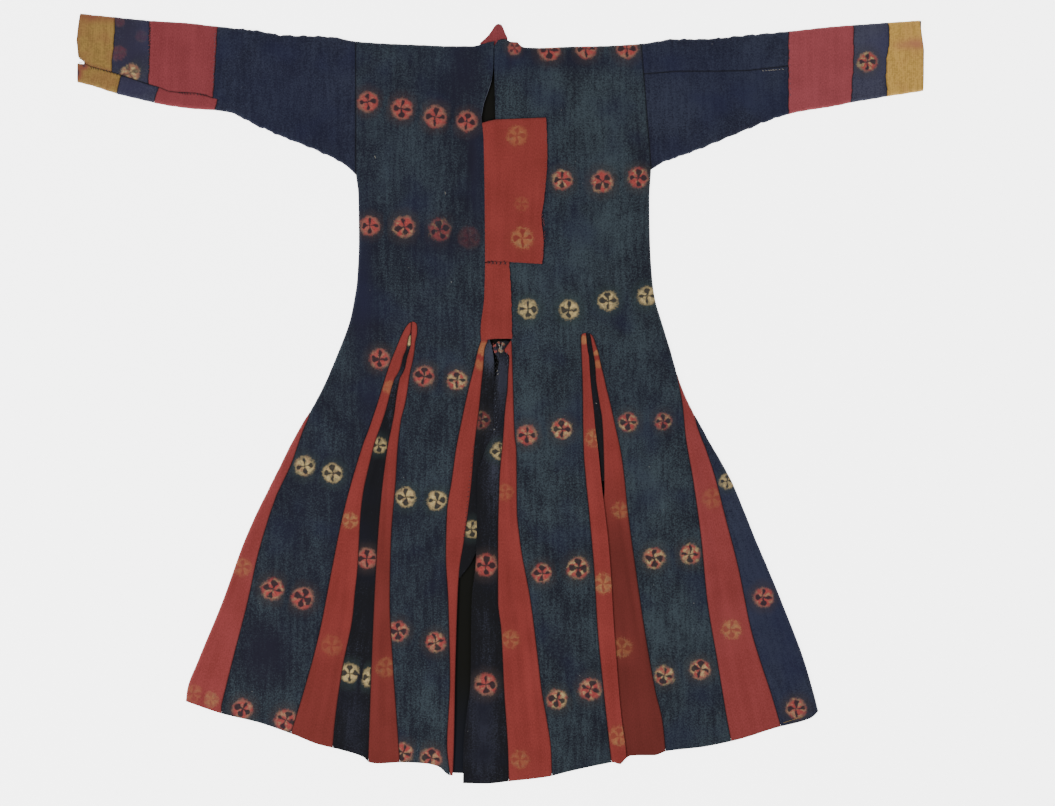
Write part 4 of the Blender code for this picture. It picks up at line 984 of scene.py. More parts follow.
def make_yellow(name, base, tint, amount):
    """Yellow wool with a square weave: two sets of threads, 3.4 mm apart, and rusty stains."""
    dye = Dye(name, sheen=0.05)
    u, v, _ = dye.parts(dye.weave)
    turns = 2 * np.pi / WEAVE_STEP
    across = dye.maths("SINE", dye.times(u, turns))
    along = dye.maths("SINE", dye.times(v, turns))
    grid = dye.times(dye.plus(across, along), 0.5)
    noise = dye.noise(dye.place, 300.0, 2.0)
    band = dye.noise(dye.stretched(dye.weave, (140.0, 20.0, 1.0)), 1.0, 2.0)
    level = dye.plus(dye.times(grid, 0.07), dye.times(noise, 0.6))
    level = dye.plus(level, dye.times(band, 0.5))
    dark = tuple(0.66 * c for c in base)
    colour = dye.mix(dye.soft(level, 0.38, 0.68), dark, base)
    stain = dye.parts(dye.named("shade"))[2]
    blotch = dye.times(dye.soft(dye.noise(dye.place, 40.0, 3.0), 0.45, 0.7), amount)
    colour = dye.mix(dye.maths("MINIMUM", dye.plus(stain, blotch), 0.85), colour, tint)
    colour = dye.mix(dye.soft(stain, 1.1, 1.7, 0.0, 0.9), colour, (0.020, 0.018, 0.040))
    return dye.finish(painted_seam_shade(dye, colour, 0.5), level)


def make_inside_in_shade(name):
    """Painted shade on the inner side of the back: near black between the two layers, and painted a
    little lighter and bluer low down, where light gets in at the hem.
    """
    dye = Dye(name, sheen=0.0)
    height = dye.parts(dye.place)[1]
    low = dye.soft(height, -0.62, -0.45, 1.0, 0.0)
    return dye.finish(dye.mix(low, (0.0040, 0.0040, 0.0028), (0.0060, 0.0070, 0.0120)))


print("yellow threads are", 1000 * WEAVE_STEP, "mm apart")

# %% The dyes of this robe
INDIGO = make_indigo("indigo wool", (0.0060, 0.0065, 0.0125), (0.0350, 0.0500, 0.0600),
                     (0.0110, 0.0125, 0.0340), (0.0110, 0.0100, 0.0210))
# Painted shade: a darker copy of the indigo, for the dark gores of the skirt.
INDIGO_IN_SHADE = make_indigo("indigo wool in shade", (0.0040, 0.0040, 0.0054),
                          (0.0330, 0.0360, 0.0540), (0.0058, 0.0060, 0.0125),
                          (0.0055, 0.0050, 0.0085), 0.33)
INDIGO_BLUE = make_indigo("blue wool", (0.0065, 0.0070, 0.0165), (0.0260, 0.0310, 0.0520),
                          (0.0110, 0.0125, 0.0370), (0.0110, 0.0100, 0.0240))
INDIGO_FADED = make_indigo("faded blue wool", (0.0165, 0.0155, 0.0290), (0.0460, 0.0480, 0.0720),
                           (0.0300, 0.0285, 0.0680), (0.0200, 0.0165, 0.0320))
MADDER = make_madder("madder wool", (0.140, 0.0188, 0.0150), (0.212, 0.0325, 0.0285))
MADDER_WARM = make_madder("warm madder wool", (0.148, 0.0220, 0.0195),
                          (0.220, 0.0385, 0.0385))
MADDER_PINK = make_madder("rosy madder wool", (0.138, 0.0216, 0.0248), (0.212, 0.0390, 0.0455))
MADDER_ROSE = make_madder("pale rosy madder wool", (0.172, 0.0300, 0.0345), (0.265, 0.0540, 0.0630))
YELLOW_LEFT = make_yellow("yellow wool", (0.252, 0.151, 0.041), (0.17, 0.045, 0.030), 0.25)
YELLOW_RIGHT = make_yellow("pale yellow wool", (0.47, 0.275, 0.062), (0.32, 0.12, 0.065), 0.15)
# Painted shade for the inside of the robe, which shows at the neck and in the gap at the front.
INSIDE_IN_SHADE = make_inside_in_shade("inner side")
print("made", len(bpy.data.materials), "materials")

# %% [markdown]
# ## Worn, faded and bluer places
#
# The dye has worn unevenly. Two tables give the largest of those places, each a soft patch that
# is strongest in its middle, and each point of cloth notes the sum over all of them.

# %% Pale, dark and blue places
# Places where the blue is paler (above 0) or darker, by pixel, with the radius in pixels
MOTTLES = table(
    "x y wide high amount",
    (443, 62, 16, 22, 0.5), (407, 150, 22, 30, 0.5), (433, 195, 14, 24, 0.6),
    (385, 190, 18, 20, 0.2), (460, 80, 20, 40, -0.5), (370, 70, 16, 30, -0.2),
    (475, 170, 10, 60, -0.5), (365, 260, 12, 60, -0.4), (440, 240, 30, 14, -0.4),
    (420, 290, 40, 26, 0.1), (410, 330, 40, 16, -0.3), (360, 320, 16, 30, -0.4),
    (505, 80, 8, 40, 0.3), (547, 90, 16, 26, 0.5), (590, 115, 20, 34, 0.4),
    (613, 150, 16, 20, 0.5), (560, 145, 40, 12, 0.1), (640, 140, 14, 40, -0.4),
    (570, 60, 40, 8, -0.5), (610, 230, 34, 26, 0.5), (580, 260, 20, 24, 0.5),
    (560, 215, 14, 12, -0.2), (530, 275, 16, 24, 0.4), (560, 340, 30, 22, 0.3),
    (640, 330, 20, 26, 0.3), (530, 390, 14, 34, 0.5), (650, 260, 10, 40, -0.3),
    (545, 480, 12, 40, 0.3), (575, 500, 14, 30, 0.1), (640, 470, 16, 24, 0.5),
    (660, 500, 16, 30, 0.5), (560, 640, 14, 30, -0.3), (560, 610, 12, 20, -0.1),
    (655, 610, 12, 30, 0.5), (680, 620, 14, 24, 0.3), (690, 710, 20, 24, 0.2),
    (420, 440, 24, 30, 0.1), (425, 480, 20, 14, 0.5), (430, 580, 14, 30, -0.2),
    (425, 700, 14, 30, 0.4), (330, 430, 20, 24, 0.2), (300, 520, 20, 24, 0.0),
    (320, 540, 10, 24, 0.2), (290, 640, 18, 30, 0.1), (250, 650, 16, 24, -0.2),
    (370, 400, 10, 30, -0.3), (265, 100, 50, 22, 0.1), (690, 95, 44, 30, 0.7),
    (760, 70, 30, 40, 0.7), (770, 600, 40, 90, 0.8), (735, 500, 20, 40, 0.5),
    (415, 190, 80, 90, -0.25), (330, 500, 110, 150, -0.3), (580, 200, 90, 120, 0.1),
    (472, 157, 2.5, 16, -1.4), (489, 354, 7, 18, 2.6), (503, 378, 6, 28, 2.3),
    (510, 62, 3, 10, -0.8), (520, 52, 20, 8, -0.5), (455, 60, 30, 24, -0.4),
    (130, 50, 20, 40, -0.9), (870, 60, 24, 50, 0.9), (135, 90, 24, 10, -0.1),
    (412, 700, 14, 60, -0.2), (493, 470, 10, 60, 1.3), (485, 640, 10, 60, 0.5),
    (483, 735, 14, 46, 1.7), (363, 590, 8, 50, 0.4), (355, 710, 14, 50, 1.1),
    (268, 656, 26, 36, -0.8), (398, 366, 5, 22, 1.6), (390, 408, 5, 24, 0.9),
)

# Places where it is bluer
BLUES = table(
    "x y wide high amount",
    (362, 280, 9, 70, 0.9), (400, 180, 90, 120, 0.25), (350, 520, 110, 170, 0.25),
    (515, 62, 24, 16, 0.6), (450, 70, 40, 40, 0.4), (720, 80, 70, 40, 0.5), (545, 200, 14, 110, 0.3),
    (478, 170, 8, 60, 0.5), (280, 100, 60, 60, 0.5), (503, 380, 6, 30, 0.8), (770, 590, 50, 110, 0.7),
    (130, 88, 26, 12, 0.9), (484, 730, 14, 60, 1.0), (488, 500, 12, 90, 0.3),
    (355, 720, 14, 50, 0.8), (870, 60, 30, 50, 0.4), (130, 45, 26, 30, 0.3),
    (600, 60, 90, 12, 0.4), (440, 320, 40, 20, 0.3), (640, 400, 40, 40, 0.2),
)


def mottle(across, down, places=MOTTLES):
    """Sum of amount * exp(-(x / wide)^2 - (y / high)^2) over the pale and dark places."""
    total = 0.0
    for x, y, wide, high, amount in zip(*(places[k] for k in places)):
        centre_across, centre_down = picture(x, y)
        far = ((across - centre_across) / (wide * PIXEL_MM)) ** 2
        far = far + ((down - centre_down) / (high * PIXEL_MM)) ** 2
        total = total + amount * np.exp(-far)
    return total


print("worn places", len(MOTTLES["x"]), "and bluer ones", len(BLUES["x"]))

# %% [markdown]
# ## The pieces
#
# Each piece of cloth is cut on the seams of its half. One function makes every shell: it drops
# the surface a little beside a seam, joins the inner side round the rim, and adds the notes.

# %% Shells
SEAM_GAP = 0.2
GROOVE = 0.6
GROOVE_WIDTH = 1.1
FLAT = {}
CLOTHS = {}


def groove(across, kinds, left_rows=1.0, right_rows=1.0):
    """Depth = -groove * exp(-(distance / width)^2) from each edge that is sewn."""
    depth = 0.0
    for kind, gap, rows in ((kinds[0], across - across[:, :1], left_rows),
                            (kinds[1], across[:, -1:] - across, right_rows)):
        if kind == "seam":
            depth = depth - np.reshape(rows, (-1, 1)) * np.exp(-((gap / GROOVE_WIDTH) ** 2))
    return GROOVE * depth


def lifted(place, lift):
    return place + np.ravel(lift)[:, None] * np.array([0, 0, 1])


def shell(node, slot, outer, inner, quads, weave, finish, rests_on, inside=None, stain=None,
          seam=None):
    """A closed shell between outer and inner points, which stands for a node of the frame."""
    used = np.unique(quads)
    number = np.zeros(len(outer), int)
    number[used] = np.arange(len(used))
    quads = number[quads]
    place = np.vstack([outer[used], inner[used]])
    weave = np.vstack([weave[used], weave[used]])
    count = len(used)
    faces = np.vstack([quads, quads[:, ::-1] + count, rim_quads(quads, count)])
    finishes = [finish]
    finish_index = None
    # A second material may cover the upper side: the painted shade of the robe's inside.
    if inside is not None:
        finishes.append(inside)
        finish_index = np.zeros(len(faces))
        finish_index[: len(quads)] = 1
    cloth = mesh_of(f"{node}_cloth", world(*place.T), faces, finishes, finish_index)
    local, look = spot_notes(place, faces, SPOTS.get(node, NO_SPOTS))
    note(cloth, "spot", local)
    note(cloth, "spot_look", look)
    note(cloth, "weave", weave * 0.001)
    if stain is None and slot == "indigo_wool":
        hue = mottle(place[:, 0], place[:, 1], BLUES)
    else:
        hue = np.zeros(len(place)) if stain is None else stain(place[:, 0], place[:, 1])
    # The first note is how deep a point lies in a seam's groove, which the dyes paint as shade.
    beside = hue * 0 if seam is None else np.tile(np.ravel(seam)[used], 2)
    note(cloth, "shade", np.stack([beside, mottle(place[:, 0], place[:, 1]), hue], axis=1))
    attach(cloth, "root")
    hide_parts(node)
    CLOTHS[node] = (cloth, rests_on)
    return cloth


print("groove", GROOVE, "mm deep, seams", SEAM_GAP, "mm open")

# %% The flat size of a piece


def measure(node, blocks):
    """Flat size of a piece: its length along the middle of its rows, its greatest width square
    to that, and its area. blocks are arrays of rows by columns by (across, down, height)."""
    middle = blocks[0].mean(axis=1)
    step = np.diff(middle, axis=0)
    length = np.linalg.norm(step, axis=1).sum()
    way = middle[-1, :2] - middle[0, :2]
    way = way / np.hypot(*way)
    width = 0.0
    area = 0.0
    for block in blocks:
        chord = block[:, -1, :2] - block[:, 0, :2]
        width = width + np.abs(chord[:, 0] * way[1] - chord[:, 1] * way[0])
        a = block[1:, 1:] - block[:-1, :-1]
        b = block[1:, :-1] - block[:-1, 1:]
        area = area + 0.5 * np.linalg.norm(np.cross(a, b), axis=2).sum()
    FLAT[node] = (width.max() * 0.001, length * 0.001, area * 1e-6)


def grid_piece(node, slot, across, down, outer, inner, finish, rests_on, **more):
    """A shell over one grid of rows by columns."""
    shape = across.shape
    weave = np.stack([across - across.mean(axis=1, keepdims=True), down, across * 0], axis=-1)
    measure(node, [outer.reshape(*shape, 3)])
    index = np.arange(across.size).reshape(shape)
    return shell(node, slot, outer, inner, grid_quads(index), weave.reshape(-1, 3), finish,
                 rests_on, **more)


print("flat sizes to find:", len(frame["nodes"]))

# %% [markdown]
# ### The front
#
# Each half of the front is one loom width, slit from the hem up to the point of its gores. The
# gores of the left half stand at the slit, and those of the centre beside the open edge.

# %% The two fronts


def front_half(node, half, middle, outer_seam, slit_outer, slit_inner, rests_on):
    """One half of the front, in two blocks of columns that share a column above the slit."""
    share = shares_of(half, 0.0, top_fold=True, tips=(half.start(slit_outer),))
    first, second = middle
    tip_start = half.start(slit_outer)
    lower = share >= half.start(second)
    centre = np.where(lower, half.line(second, share) + half.way * SEAM_GAP / 2,
                      half.line(first, share))
    side = half.body_edge(share)
    sewn = half.down(share, side) <= half.underarm + 0.5
    side = np.where(sewn, side - half.way * SEAM_GAP / 2, side)
    seam = half.line(outer_seam, share) - half.way * SEAM_GAP / 2
    low_side = share > half.start(outer_seam)
    side = np.where(low_side, seam, side)
    tip = slit_outer["across"][0]
    slit = share > tip_start + 1e-4
    outer_slit = np.where(slit, half.line(slit_outer, share) + half.way * SEAM_GAP / 2, tip)
    inner_slit = np.where(slit, half.line(slit_inner, share) - half.way * SEAM_GAP / 2, tip)
    edges = [(side, outer_slit, ("fold", "seam"), (sewn | low_side, slit)),
             (inner_slit, centre, ("seam", "seam"), (slit, lower))]
    if half.way > 0:
        edges = [(right, left, kinds[::-1], rows[::-1]) for left, right, kinds, rows in edges[::-1]]
    blocks = []
    for left, right, kinds, sewn_rows in edges:
        across = spread(left, right, STEP, kinds)
        blocks.append((across, groove(across, ("seam", "seam"), *sewn_rows)))
    sizes = [block.shape[1] for block, _ in blocks]
    rows = len(share)
    quads = slit_quads(rows, sizes, slit)
    across = np.concatenate([block.ravel() for block, _ in blocks])
    dip = np.concatenate([depth.ravel() for _, depth in blocks])
    shares = np.concatenate([np.repeat(share, size) for size in sizes])
    outer, inner = body_front(half, shares, across)
    outer, inner = lifted(outer, dip), lifted(inner, dip)
    weave = np.stack([across, outer[:, 1], across * 0], axis=-1)
    cut = sizes[0] * rows
    measure(node, [outer[:cut].reshape(rows, -1, 3), outer[cut:].reshape(rows, -1, 3)])
    return shell(node, "indigo_wool", outer, inner, quads, weave, INDIGO, rests_on,
                 seam=-dip / GROOVE)


front_half("front_left", LEFT, (LEFT_EDGE, B_LEFT), SIDE_LEFT, A_LEFT, A_RIGHT, ["back_left"])
front_half("front_right", RIGHT, (RIGHT_EDGE, B_RIGHT), SIDE_RIGHT, C_RIGHT, C_LEFT, ["back_right"])
print("fronts", {name: tuple(round(x, 3) for x in FLAT[name]) for name in FLAT})

# %% The gores of the front
LIFT = 2.2
FOLD_OVER_START = 0.52
FOLD_OVER_REACH = 0.07
OVERLAP_EDGE = 9.0
OVERLAP_LEAST = 3.0


def gore(node, half, left, right, finish, start, end=1.0, kinds=("seam", "seam"), lift=None,
         slot="madder_wool", stain=None):
    """A piece of the front between two seams, which are tables or functions of the share. Each
    side is sewn, folded or free."""
    share = shares_of(half, start, end, tips=(start,))
    sides = []
    for seam, way in ((left, 1), (right, -1)):
        sides.append(seam(share) if callable(seam) else half.line(seam, share) + way * SEAM_GAP / 2)
    across = spread(sides[0], sides[1], STEP, ["fold" if k == "fold" else "seam" for k in kinds])
    shares = np.broadcast_to(share[:, None], across.shape)
    dip = groove(across, kinds)
    beside = -dip / GROOVE
    if lift is not None:
        dip = dip + lift(shares, across)
    outer, inner = body_front(half, shares.ravel(), across.ravel())
    outer, inner = lifted(outer, dip), lifted(inner, dip)
    down = half.down(shares, across)
    side = "back_left" if half is LEFT else "back_right"
    return grid_piece(node, slot, across, down, outer, inner, finish, [side], seam=beside,
                      stain=stain)


def left_fold(share):
    return LEFT.line(LEFT.fold, share)


def right_fold(share):
    return RIGHT.line(RIGHT.fold, share)


def side_red_right(share):
    """The fold until the dark gore begins, then the seam to it."""
    seam = RIGHT.line(SIDE_RIGHT_DARK, share) - SEAM_GAP / 2
    return np.where(share <= RIGHT.start(SIDE_RIGHT_DARK), right_fold(share), seam)


def fold_over(share, across):
    """The first strip of the right insertion rises towards its right edge, which laps over."""
    left = RIGHT.line(C_LEFT, share)
    right = RIGHT.line(C_DARK_LEFT, share)
    begun = ramp((share - FOLD_OVER_START) / FOLD_OVER_REACH)
    return LIFT * begun * ramp(2.0 * (across - left) / (right - left))


def overlap(share, across):
    """The right front's dark gore rises towards its free left edge, which laps over."""
    seam = RIGHT.line(B_RIGHT_DARK, share)
    edge = RIGHT.line(B_OVERLAP, share) + OVERLAP_EDGE
    return LIFT * ramp((seam - across) / np.maximum(seam - edge, OVERLAP_LEAST))


def darker_towards_hem(from_down, reach, amount):
    """Red that grows darker towards the hem, from from_down over reach, by amount."""
    return lambda across, down: amount * ramp((down - from_down) / reach)


a_red = float(LEFT.share(470.1, -148.0))
a_dark = float(LEFT.share(490.0, -151.0))
b_left = float(LEFT.share(501.5, -32.0))
b_right = float(RIGHT.share(501.5, 14.0))
c_start = float(RIGHT.share(489.6, 146.0))
gore("side_left_red", LEFT, left_fold, SIDE_LEFT, MADDER_WARM, float(LEFT.share(624.0, -323.0)),
     kinds=("fold", "seam"))
gore("gore_left_red_1", LEFT, A_LEFT, A_DARK_LEFT, MADDER, a_red, stain=darker_towards_hem(900, 250, 0.35))
gore("gore_left_dark", LEFT, A_DARK_LEFT, A_DARK_RIGHT, INDIGO_IN_SHADE, a_dark, slot="indigo_wool")
gore("gore_left_red_2", LEFT, A_DARK_RIGHT, A_RIGHT, MADDER, a_red, stain=darker_towards_hem(640, 260, 0.4))
gore("gore_centre_red_1", LEFT, B_LEFT, B_LEFT_DARK, MADDER, b_left)
gore("gore_centre_dark_1", LEFT, B_LEFT_DARK, B_LEFT_END, INDIGO_IN_SHADE, b_left,
     end=float(LEFT.share(905.0, -67.0)), kinds=("seam", "free"), slot="indigo_wool")
gore("gore_centre_dark_2", RIGHT, B_OVERLAP, B_RIGHT_DARK, INDIGO_IN_SHADE,
     float(RIGHT.share(503.5, 0.0)), kinds=("free", "seam"), lift=overlap, slot="indigo_wool")
gore("gore_centre_red_2", RIGHT, B_RIGHT_DARK, B_RIGHT, MADDER, b_right)
gore("gore_right_red_1", RIGHT, C_LEFT, C_DARK_LEFT, MADDER, c_start, kinds=("seam", "free"),
     lift=fold_over)
gore("gore_right_dark", RIGHT, C_DARK_LEFT, C_DARK_RIGHT, INDIGO_IN_SHADE, c_start,
     end=float(RIGHT.share(741.0, 175.0)), slot="indigo_wool")
# On this strip, which lies under the fold of the first strip, the darker red is painted shade.
gore("gore_right_red_2", RIGHT, C_DARK_RIGHT, C_RIGHT, MADDER, c_start,
     stain=darker_towards_hem(680, 200, 0.6))
gore("side_right_red", RIGHT, SIDE_RIGHT, side_red_right, MADDER_WARM,
     float(RIGHT.share(560.0, 301.0)))
gore("side_right_dark", RIGHT, SIDE_RIGHT_DARK, right_fold, INDIGO_BLUE,
     float(RIGHT.share(629.5, 331.0)), kinds=("seam", "fold"), slot="indigo_wool")
print("front pieces so far", len(CLOTHS))

# %% [markdown]
# ### The flap, the strip and the neck band
#
# A flap and a short strip are sewn to the left front's edge and lie over the right front. At the
# neck a narrow band stands up in a small peak.

# %% Flap, strip and neck band
FLAP_RIGHT = table(
    "down across",
    (121, 78), (194, 80.5), (267, 75), (299, 70.5), (334, 74), (357, 73.5), (372, 71))
STRIP_RIGHT = table("down across", (372, 15.5), (428, 19), (495, 20.5), (502, 20.5))
PEAK_LEFT = table("across down", (-34, -3), (-19, -17), (-12, -27), (-7, -33.5), (-3.8, -35))
PEAK_RIGHT = table("across down", (-4.0, -35.2), (2, -34), (5, -30), (9, -20), (13, -12))
FLAP_SLANT = 4.3
FLAP_TOP_REACH = 60.0
FLAP_DROOP = 6.0
DROOP_START = 0.25
DROOP_REACH = 0.04
LAP_EDGE = -6.0
LAP_REACH = 15.0
FRAY_WAVES = 70
NECK_BASE = 4.5
NECK_RIDGE = 4.0


def lapped(node, right, start, end, slant, ragged):
    """A piece sewn to the left front's edge. It rises by LIFT within LAP_REACH of that edge."""
    share = shares_of(LEFT, start, end)
    known = LEFT.share(right["down"], np.full(len(right["down"]), LEFT_EDGE["across"][-1]))
    left_side = LEFT.line(LEFT_EDGE, share) + SEAM_GAP / 2
    right_side = smooth(known, right["across"], share) + ragged * wave(share * FRAY_WAVES, 1.0)
    across = spread(left_side, right_side, STEP, ("seam", "seam"))
    shares = np.broadcast_to(share[:, None], across.shape)
    held = np.minimum(across, LAP_EDGE).ravel()
    outer, inner = body_front(LEFT, shares.ravel(), held)
    part = (across - across[:, :1]) / (across[:, -1:] - across[:, :1])
    from_top = (shares - shares[0, 0]) * 2 * MIDDLE_DOWN
    fall = ramp(1 - from_top / FLAP_TOP_REACH)
    droop = FLAP_DROOP * part * ramp((shares - DROOP_START) / DROOP_REACH) if slant else 0
    rise = slant * part * fall - droop
    lift = LIFT * ramp((across - across[:, :1]) / LAP_REACH)
    bumps = 0.5 * wave(across / 60 + shares * 3, 0.5) * part
    move = np.stack([across - np.minimum(across, LAP_EDGE), -rise, lift + bumps], axis=-1)
    move = move.reshape(-1, 3)
    outer, inner = outer + move, inner + move
    return grid_piece(node, "madder_wool", across, outer[:, 1].reshape(across.shape), outer,
                      inner, MADDER, ["front_right"])


lapped("breast_flap", FLAP_RIGHT, float(LEFT.share(133.0, -30.0)), float(LEFT.share(369.5, -25.5)),
       FLAP_SLANT, 0.5)
lapped("front_strip", STRIP_RIGHT, float(LEFT.share(371.0, -25.5)),
       float(LEFT.share(503.0, -32.5)), 0.0, 0.8)


def neck_piece(node, outline, base_down, left_half):
    """Half of the neck band. Height = base + ridge, which rises towards where the halves meet
    and towards the peak."""
    across = np.linspace(outline["across"][0], outline["across"][-1], 24)
    edge = smooth(outline["across"], outline["down"], across)
    part = np.linspace(0, 1, 16)[:, None]
    down = edge + part * (base_down - edge)
    wide = np.broadcast_to(across, down.shape)
    ridge = ramp((wide - across[0]) / (across[-1] - across[0]))
    ridge = ridge if left_half else 1 - ridge
    height = NECK_BASE + NECK_RIDGE * ridge * ramp((-7 - down) / 14) - 0.4 * (1 - part) ** 4
    outer = points(wide, down, height)
    inner = points(wide, down, height - THICK)
    made = grid_piece(node, "madder_wool", wide, down, outer, inner, MADDER_PINK,
                      ["back_left", "back_right"])
    FLAT[node] = (np.ptp(wide) * 0.001, np.ptp(down) * 0.001, FLAT[node][2])
    return made


neck_piece("neck_band_left", PEAK_LEFT, 5.0, True)
neck_piece("neck_band_right", PEAK_RIGHT, -3.0, False)
print("flap", tuple(round(x, 3) for x in FLAT["breast_flap"]))

# %% [markdown]
# ### The sleeves
#
# A sleeve is a tube pressed flat. Its front rolls down at both edges, and the bands near the
# cuff are sewn a little out of true. A strip is let in under the left arm.

# %% The sleeves
STRIP_SEAM = table(
    "across down",
    (-721, 27), (-703, 33), (-695, 37), (-660, 47), (-636, 54), (-598, 67), (-580, 72),
    (-563, 79), (-547, 81), (-520, 82), (-500, 86), (-488, 90.5), (-479, 91))
LEFT_CUFF = table(
    "down across",
    (-54, -713), (-29, -717), (-7, -719.5), (5, -718), (27, -716), (34, -718.5), (63, -718.5))
RIGHT_CUFF = table("down across", (-42, 713), (8, 720.5), (50, 720), (78, 719))
RIGHT_PIECING = table("across down", (240, 50), (303, 45), (368, 45), (420, 44), (490, 36))
SLEEVE_END = 721.0
CUFF_REACH = 20.0
NEAR_CUFF = 700.0
NOTCH = 8.0
NOTCH_START = 703.0
NOTCH_REACH = 15.0
UPPER_SLANT = -0.05
STRIP_SLANT = -0.28
WAVER = 0.9
WAVER_REACH = 18.0
WAVER_LENGTH = 34.0


def strip_seam(across):
    return np.interp(across, STRIP_SEAM["across"], STRIP_SEAM["down"])


def notch(across):
    """The seam is open for the last bit at the cuff."""
    return NOTCH * np.clip((-NOTCH_START - across) / NOTCH_REACH, 0, 1)


def row_terms(length, step, kinds):
    """Rows as down = top + part * (bottom - top) + offset, crowded at both ends."""
    near = [NEAR[kind] for kind in kinds]
    count = max(2, int((length - near[0][-1] - near[1][-1]) / step))
    part = np.linspace(0, 1, count + 1)[1:-1]
    parts = np.concatenate([0 * near[0], part, 0 * near[1] + 1])
    offset = np.concatenate([near[0], near[0][-1] - part * (near[0][-1] + near[1][-1]),
                             -near[1][::-1]])
    return parts[:, None], offset[:, None]


def sleeve(node, slot, half, across, down, kinds, finish, edges=(), lean=0.0, **more):
    """A piece of the front of a sleeve. lean shifts it across, and so does a slow waver beside
    each band's edge, the same on both sides of it."""
    from_top = down - half.top(across)
    from_bottom = half.bottom(across) - down
    cuff = SLEEVE_END - np.abs(across)
    base = EDGE_HEIGHT + (BODY_HEIGHT - EDGE_HEIGHT) * ramp(cuff / EDGE_REACH)
    folds = [(np.maximum(from_top, 0), 0.0, 1.0), (np.maximum(from_bottom, 0), 0.0, -1.0)]
    height, inward_across, inward_down, fall = rolled(folds, base, relief(across, down))
    shift = lean
    for edge in edges:
        near = np.clip(1 - np.abs(across - edge) / WAVER_REACH, 0, 1)
        shift = shift + WAVER * near * wave(down / WAVER_LENGTH, 0.01 * edge)
        if edge in STRAY:
            shift = shift + near * smooth(STRAY[edge]["down"], STRAY[edge]["across"], down)
    dip = groove(across, kinds[:2])
    for kind, gap in ((kinds[2], down - down[:1]), (kinds[3], down[-1:] - down)):
        if kind == "seam":
            dip = dip - GROOVE * np.exp(-((gap / GROOVE_WIDTH) ** 2))
    outer = points(across + shift, down, height + dip)
    inner = points(across + shift + inward_across, down + inward_down, height + fall + dip)
    side = "back_left" if half is LEFT else "back_right"
    below = node.split("_strip")[0].split("_band")[0].split("_cuff")[0].split("_dark")[0]
    return grid_piece(node, slot, across, down, outer, inner, finish, [f"{below}_back_dark", side],
                      seam=-dip / GROOVE, **more)


def to_cuff(across, down, cuff, reach):
    """Moves the columns within reach of the cuff so that the last one follows its end."""
    last = np.abs(across).max()
    near = np.clip(1 - (last - np.abs(across)) / reach, 0, 1)
    end = np.interp(down, cuff["down"], cuff["across"])
    return across + near * (end - np.sign(end) * last)


def band_columns(left, right, gap=SEAM_GAP):
    ends = np.array([left + gap / 2]), np.array([right - gap / 2])
    return spread(*ends, STEP, ("seam", "seam"))[0]


def left_stain(across, down):
    """Rusty along the top of the left cuff, down its outer edge and along its seam."""
    seam = 0.55 * np.exp(-(((strip_seam(across) - down) / 4) ** 2))
    return seam + 0.6 * ramp((-30 - down) / 18) + 0.4 * ramp((-711 - across) / 8)


def strip_stain(across, down):
    """Two dark blue patches at the end of the strip under the left arm."""
    end = 2.0 * np.exp(-(((across + 720) / 9) ** 2) - ((down - 48) / 12) ** 2)
    return end + 1.9 * np.exp(-(((across + 706) / 6) ** 2) - ((down - 37) / 4) ** 2)


def right_stain(across, down):
    """A rusty mark across the upper part of the right cuff."""
    mark = 0.8 * np.exp(-(((down + 1) / 9) ** 2) - ((across - 705) / 22) ** 2)
    return mark + 0.35 * np.exp(-(((down - 2) / 7) ** 2) - ((across - 680) / 14) ** 2)


# How far the seams between bands stray across, at the top, middle and bottom of the sleeve
STRAY = {
    -660.0: table("down across", (-50, 2.2), (0, 1.8), (20, 0.4), (45, 0.2)),
    -598.0: table("down across", (-42, -3.0), (-10, -1.2), (30, 0.6), (66, 0.6)),
    -488.0: table("down across", (-30, 2.4), (20, 1.6), (90, 0.8)),
    600.0: table("down across", (-33, 0.4), (10, 1.0), (40, 0.2), (60, -1.6), (98, -3.6)),
    660.0: table("down across", (-40, -1.0), (-8, 1.6), (8, -1.0), (25, -3.2), (50, -4.4),
                 (88, -2.4)),
}
print("the strip's seam runs from", strip_seam(-721.0), "to", strip_seam(-479.0), "mm down")

# %% The bands of the left sleeve
left_bands = (
    ("sleeve_left_cuff_yellow", -718.0, -660.0, "yellow_wool", YELLOW_LEFT, left_stain),
    ("sleeve_left_band_dark", -660.0, -598.0, "indigo_wool", INDIGO_FADED, None),
    ("sleeve_left_band_red", -598.0, -488.0, "madder_wool", MADDER_PINK, None),
)
for node, left, right, slot, finish, stain in left_bands:
    across = band_columns(left, right)
    lower = strip_seam(across) - SEAM_GAP / 2 - notch(across)
    top = LEFT.top(across)
    part, offset = row_terms(90, STEP, ("fold", "seam"))
    down = top + part * (lower - top) + offset
    across = np.broadcast_to(across, down.shape)
    lean = UPPER_SLANT * (down - strip_seam(across))
    edges = [edge for edge in (left, right) if edge > -NEAR_CUFF]
    if finish is YELLOW_LEFT:
        lean = lean * ramp((across + 712) / 30)
        across = to_cuff(across, down, LEFT_CUFF, CUFF_REACH)
    sleeve(node, slot, LEFT, across, down, ("seam", "seam", "fold", "seam"), finish, edges,
           lean, stain=stain)
left_strips = (
    ("sleeve_left_strip_yellow", -718.0, -643.0, "yellow_wool", YELLOW_LEFT),
    ("sleeve_left_strip_dark", -643.0, -580.0, "indigo_wool", INDIGO_FADED),
    ("sleeve_left_strip_red", -580.0, -479.0, "madder_wool", MADDER_PINK),
)
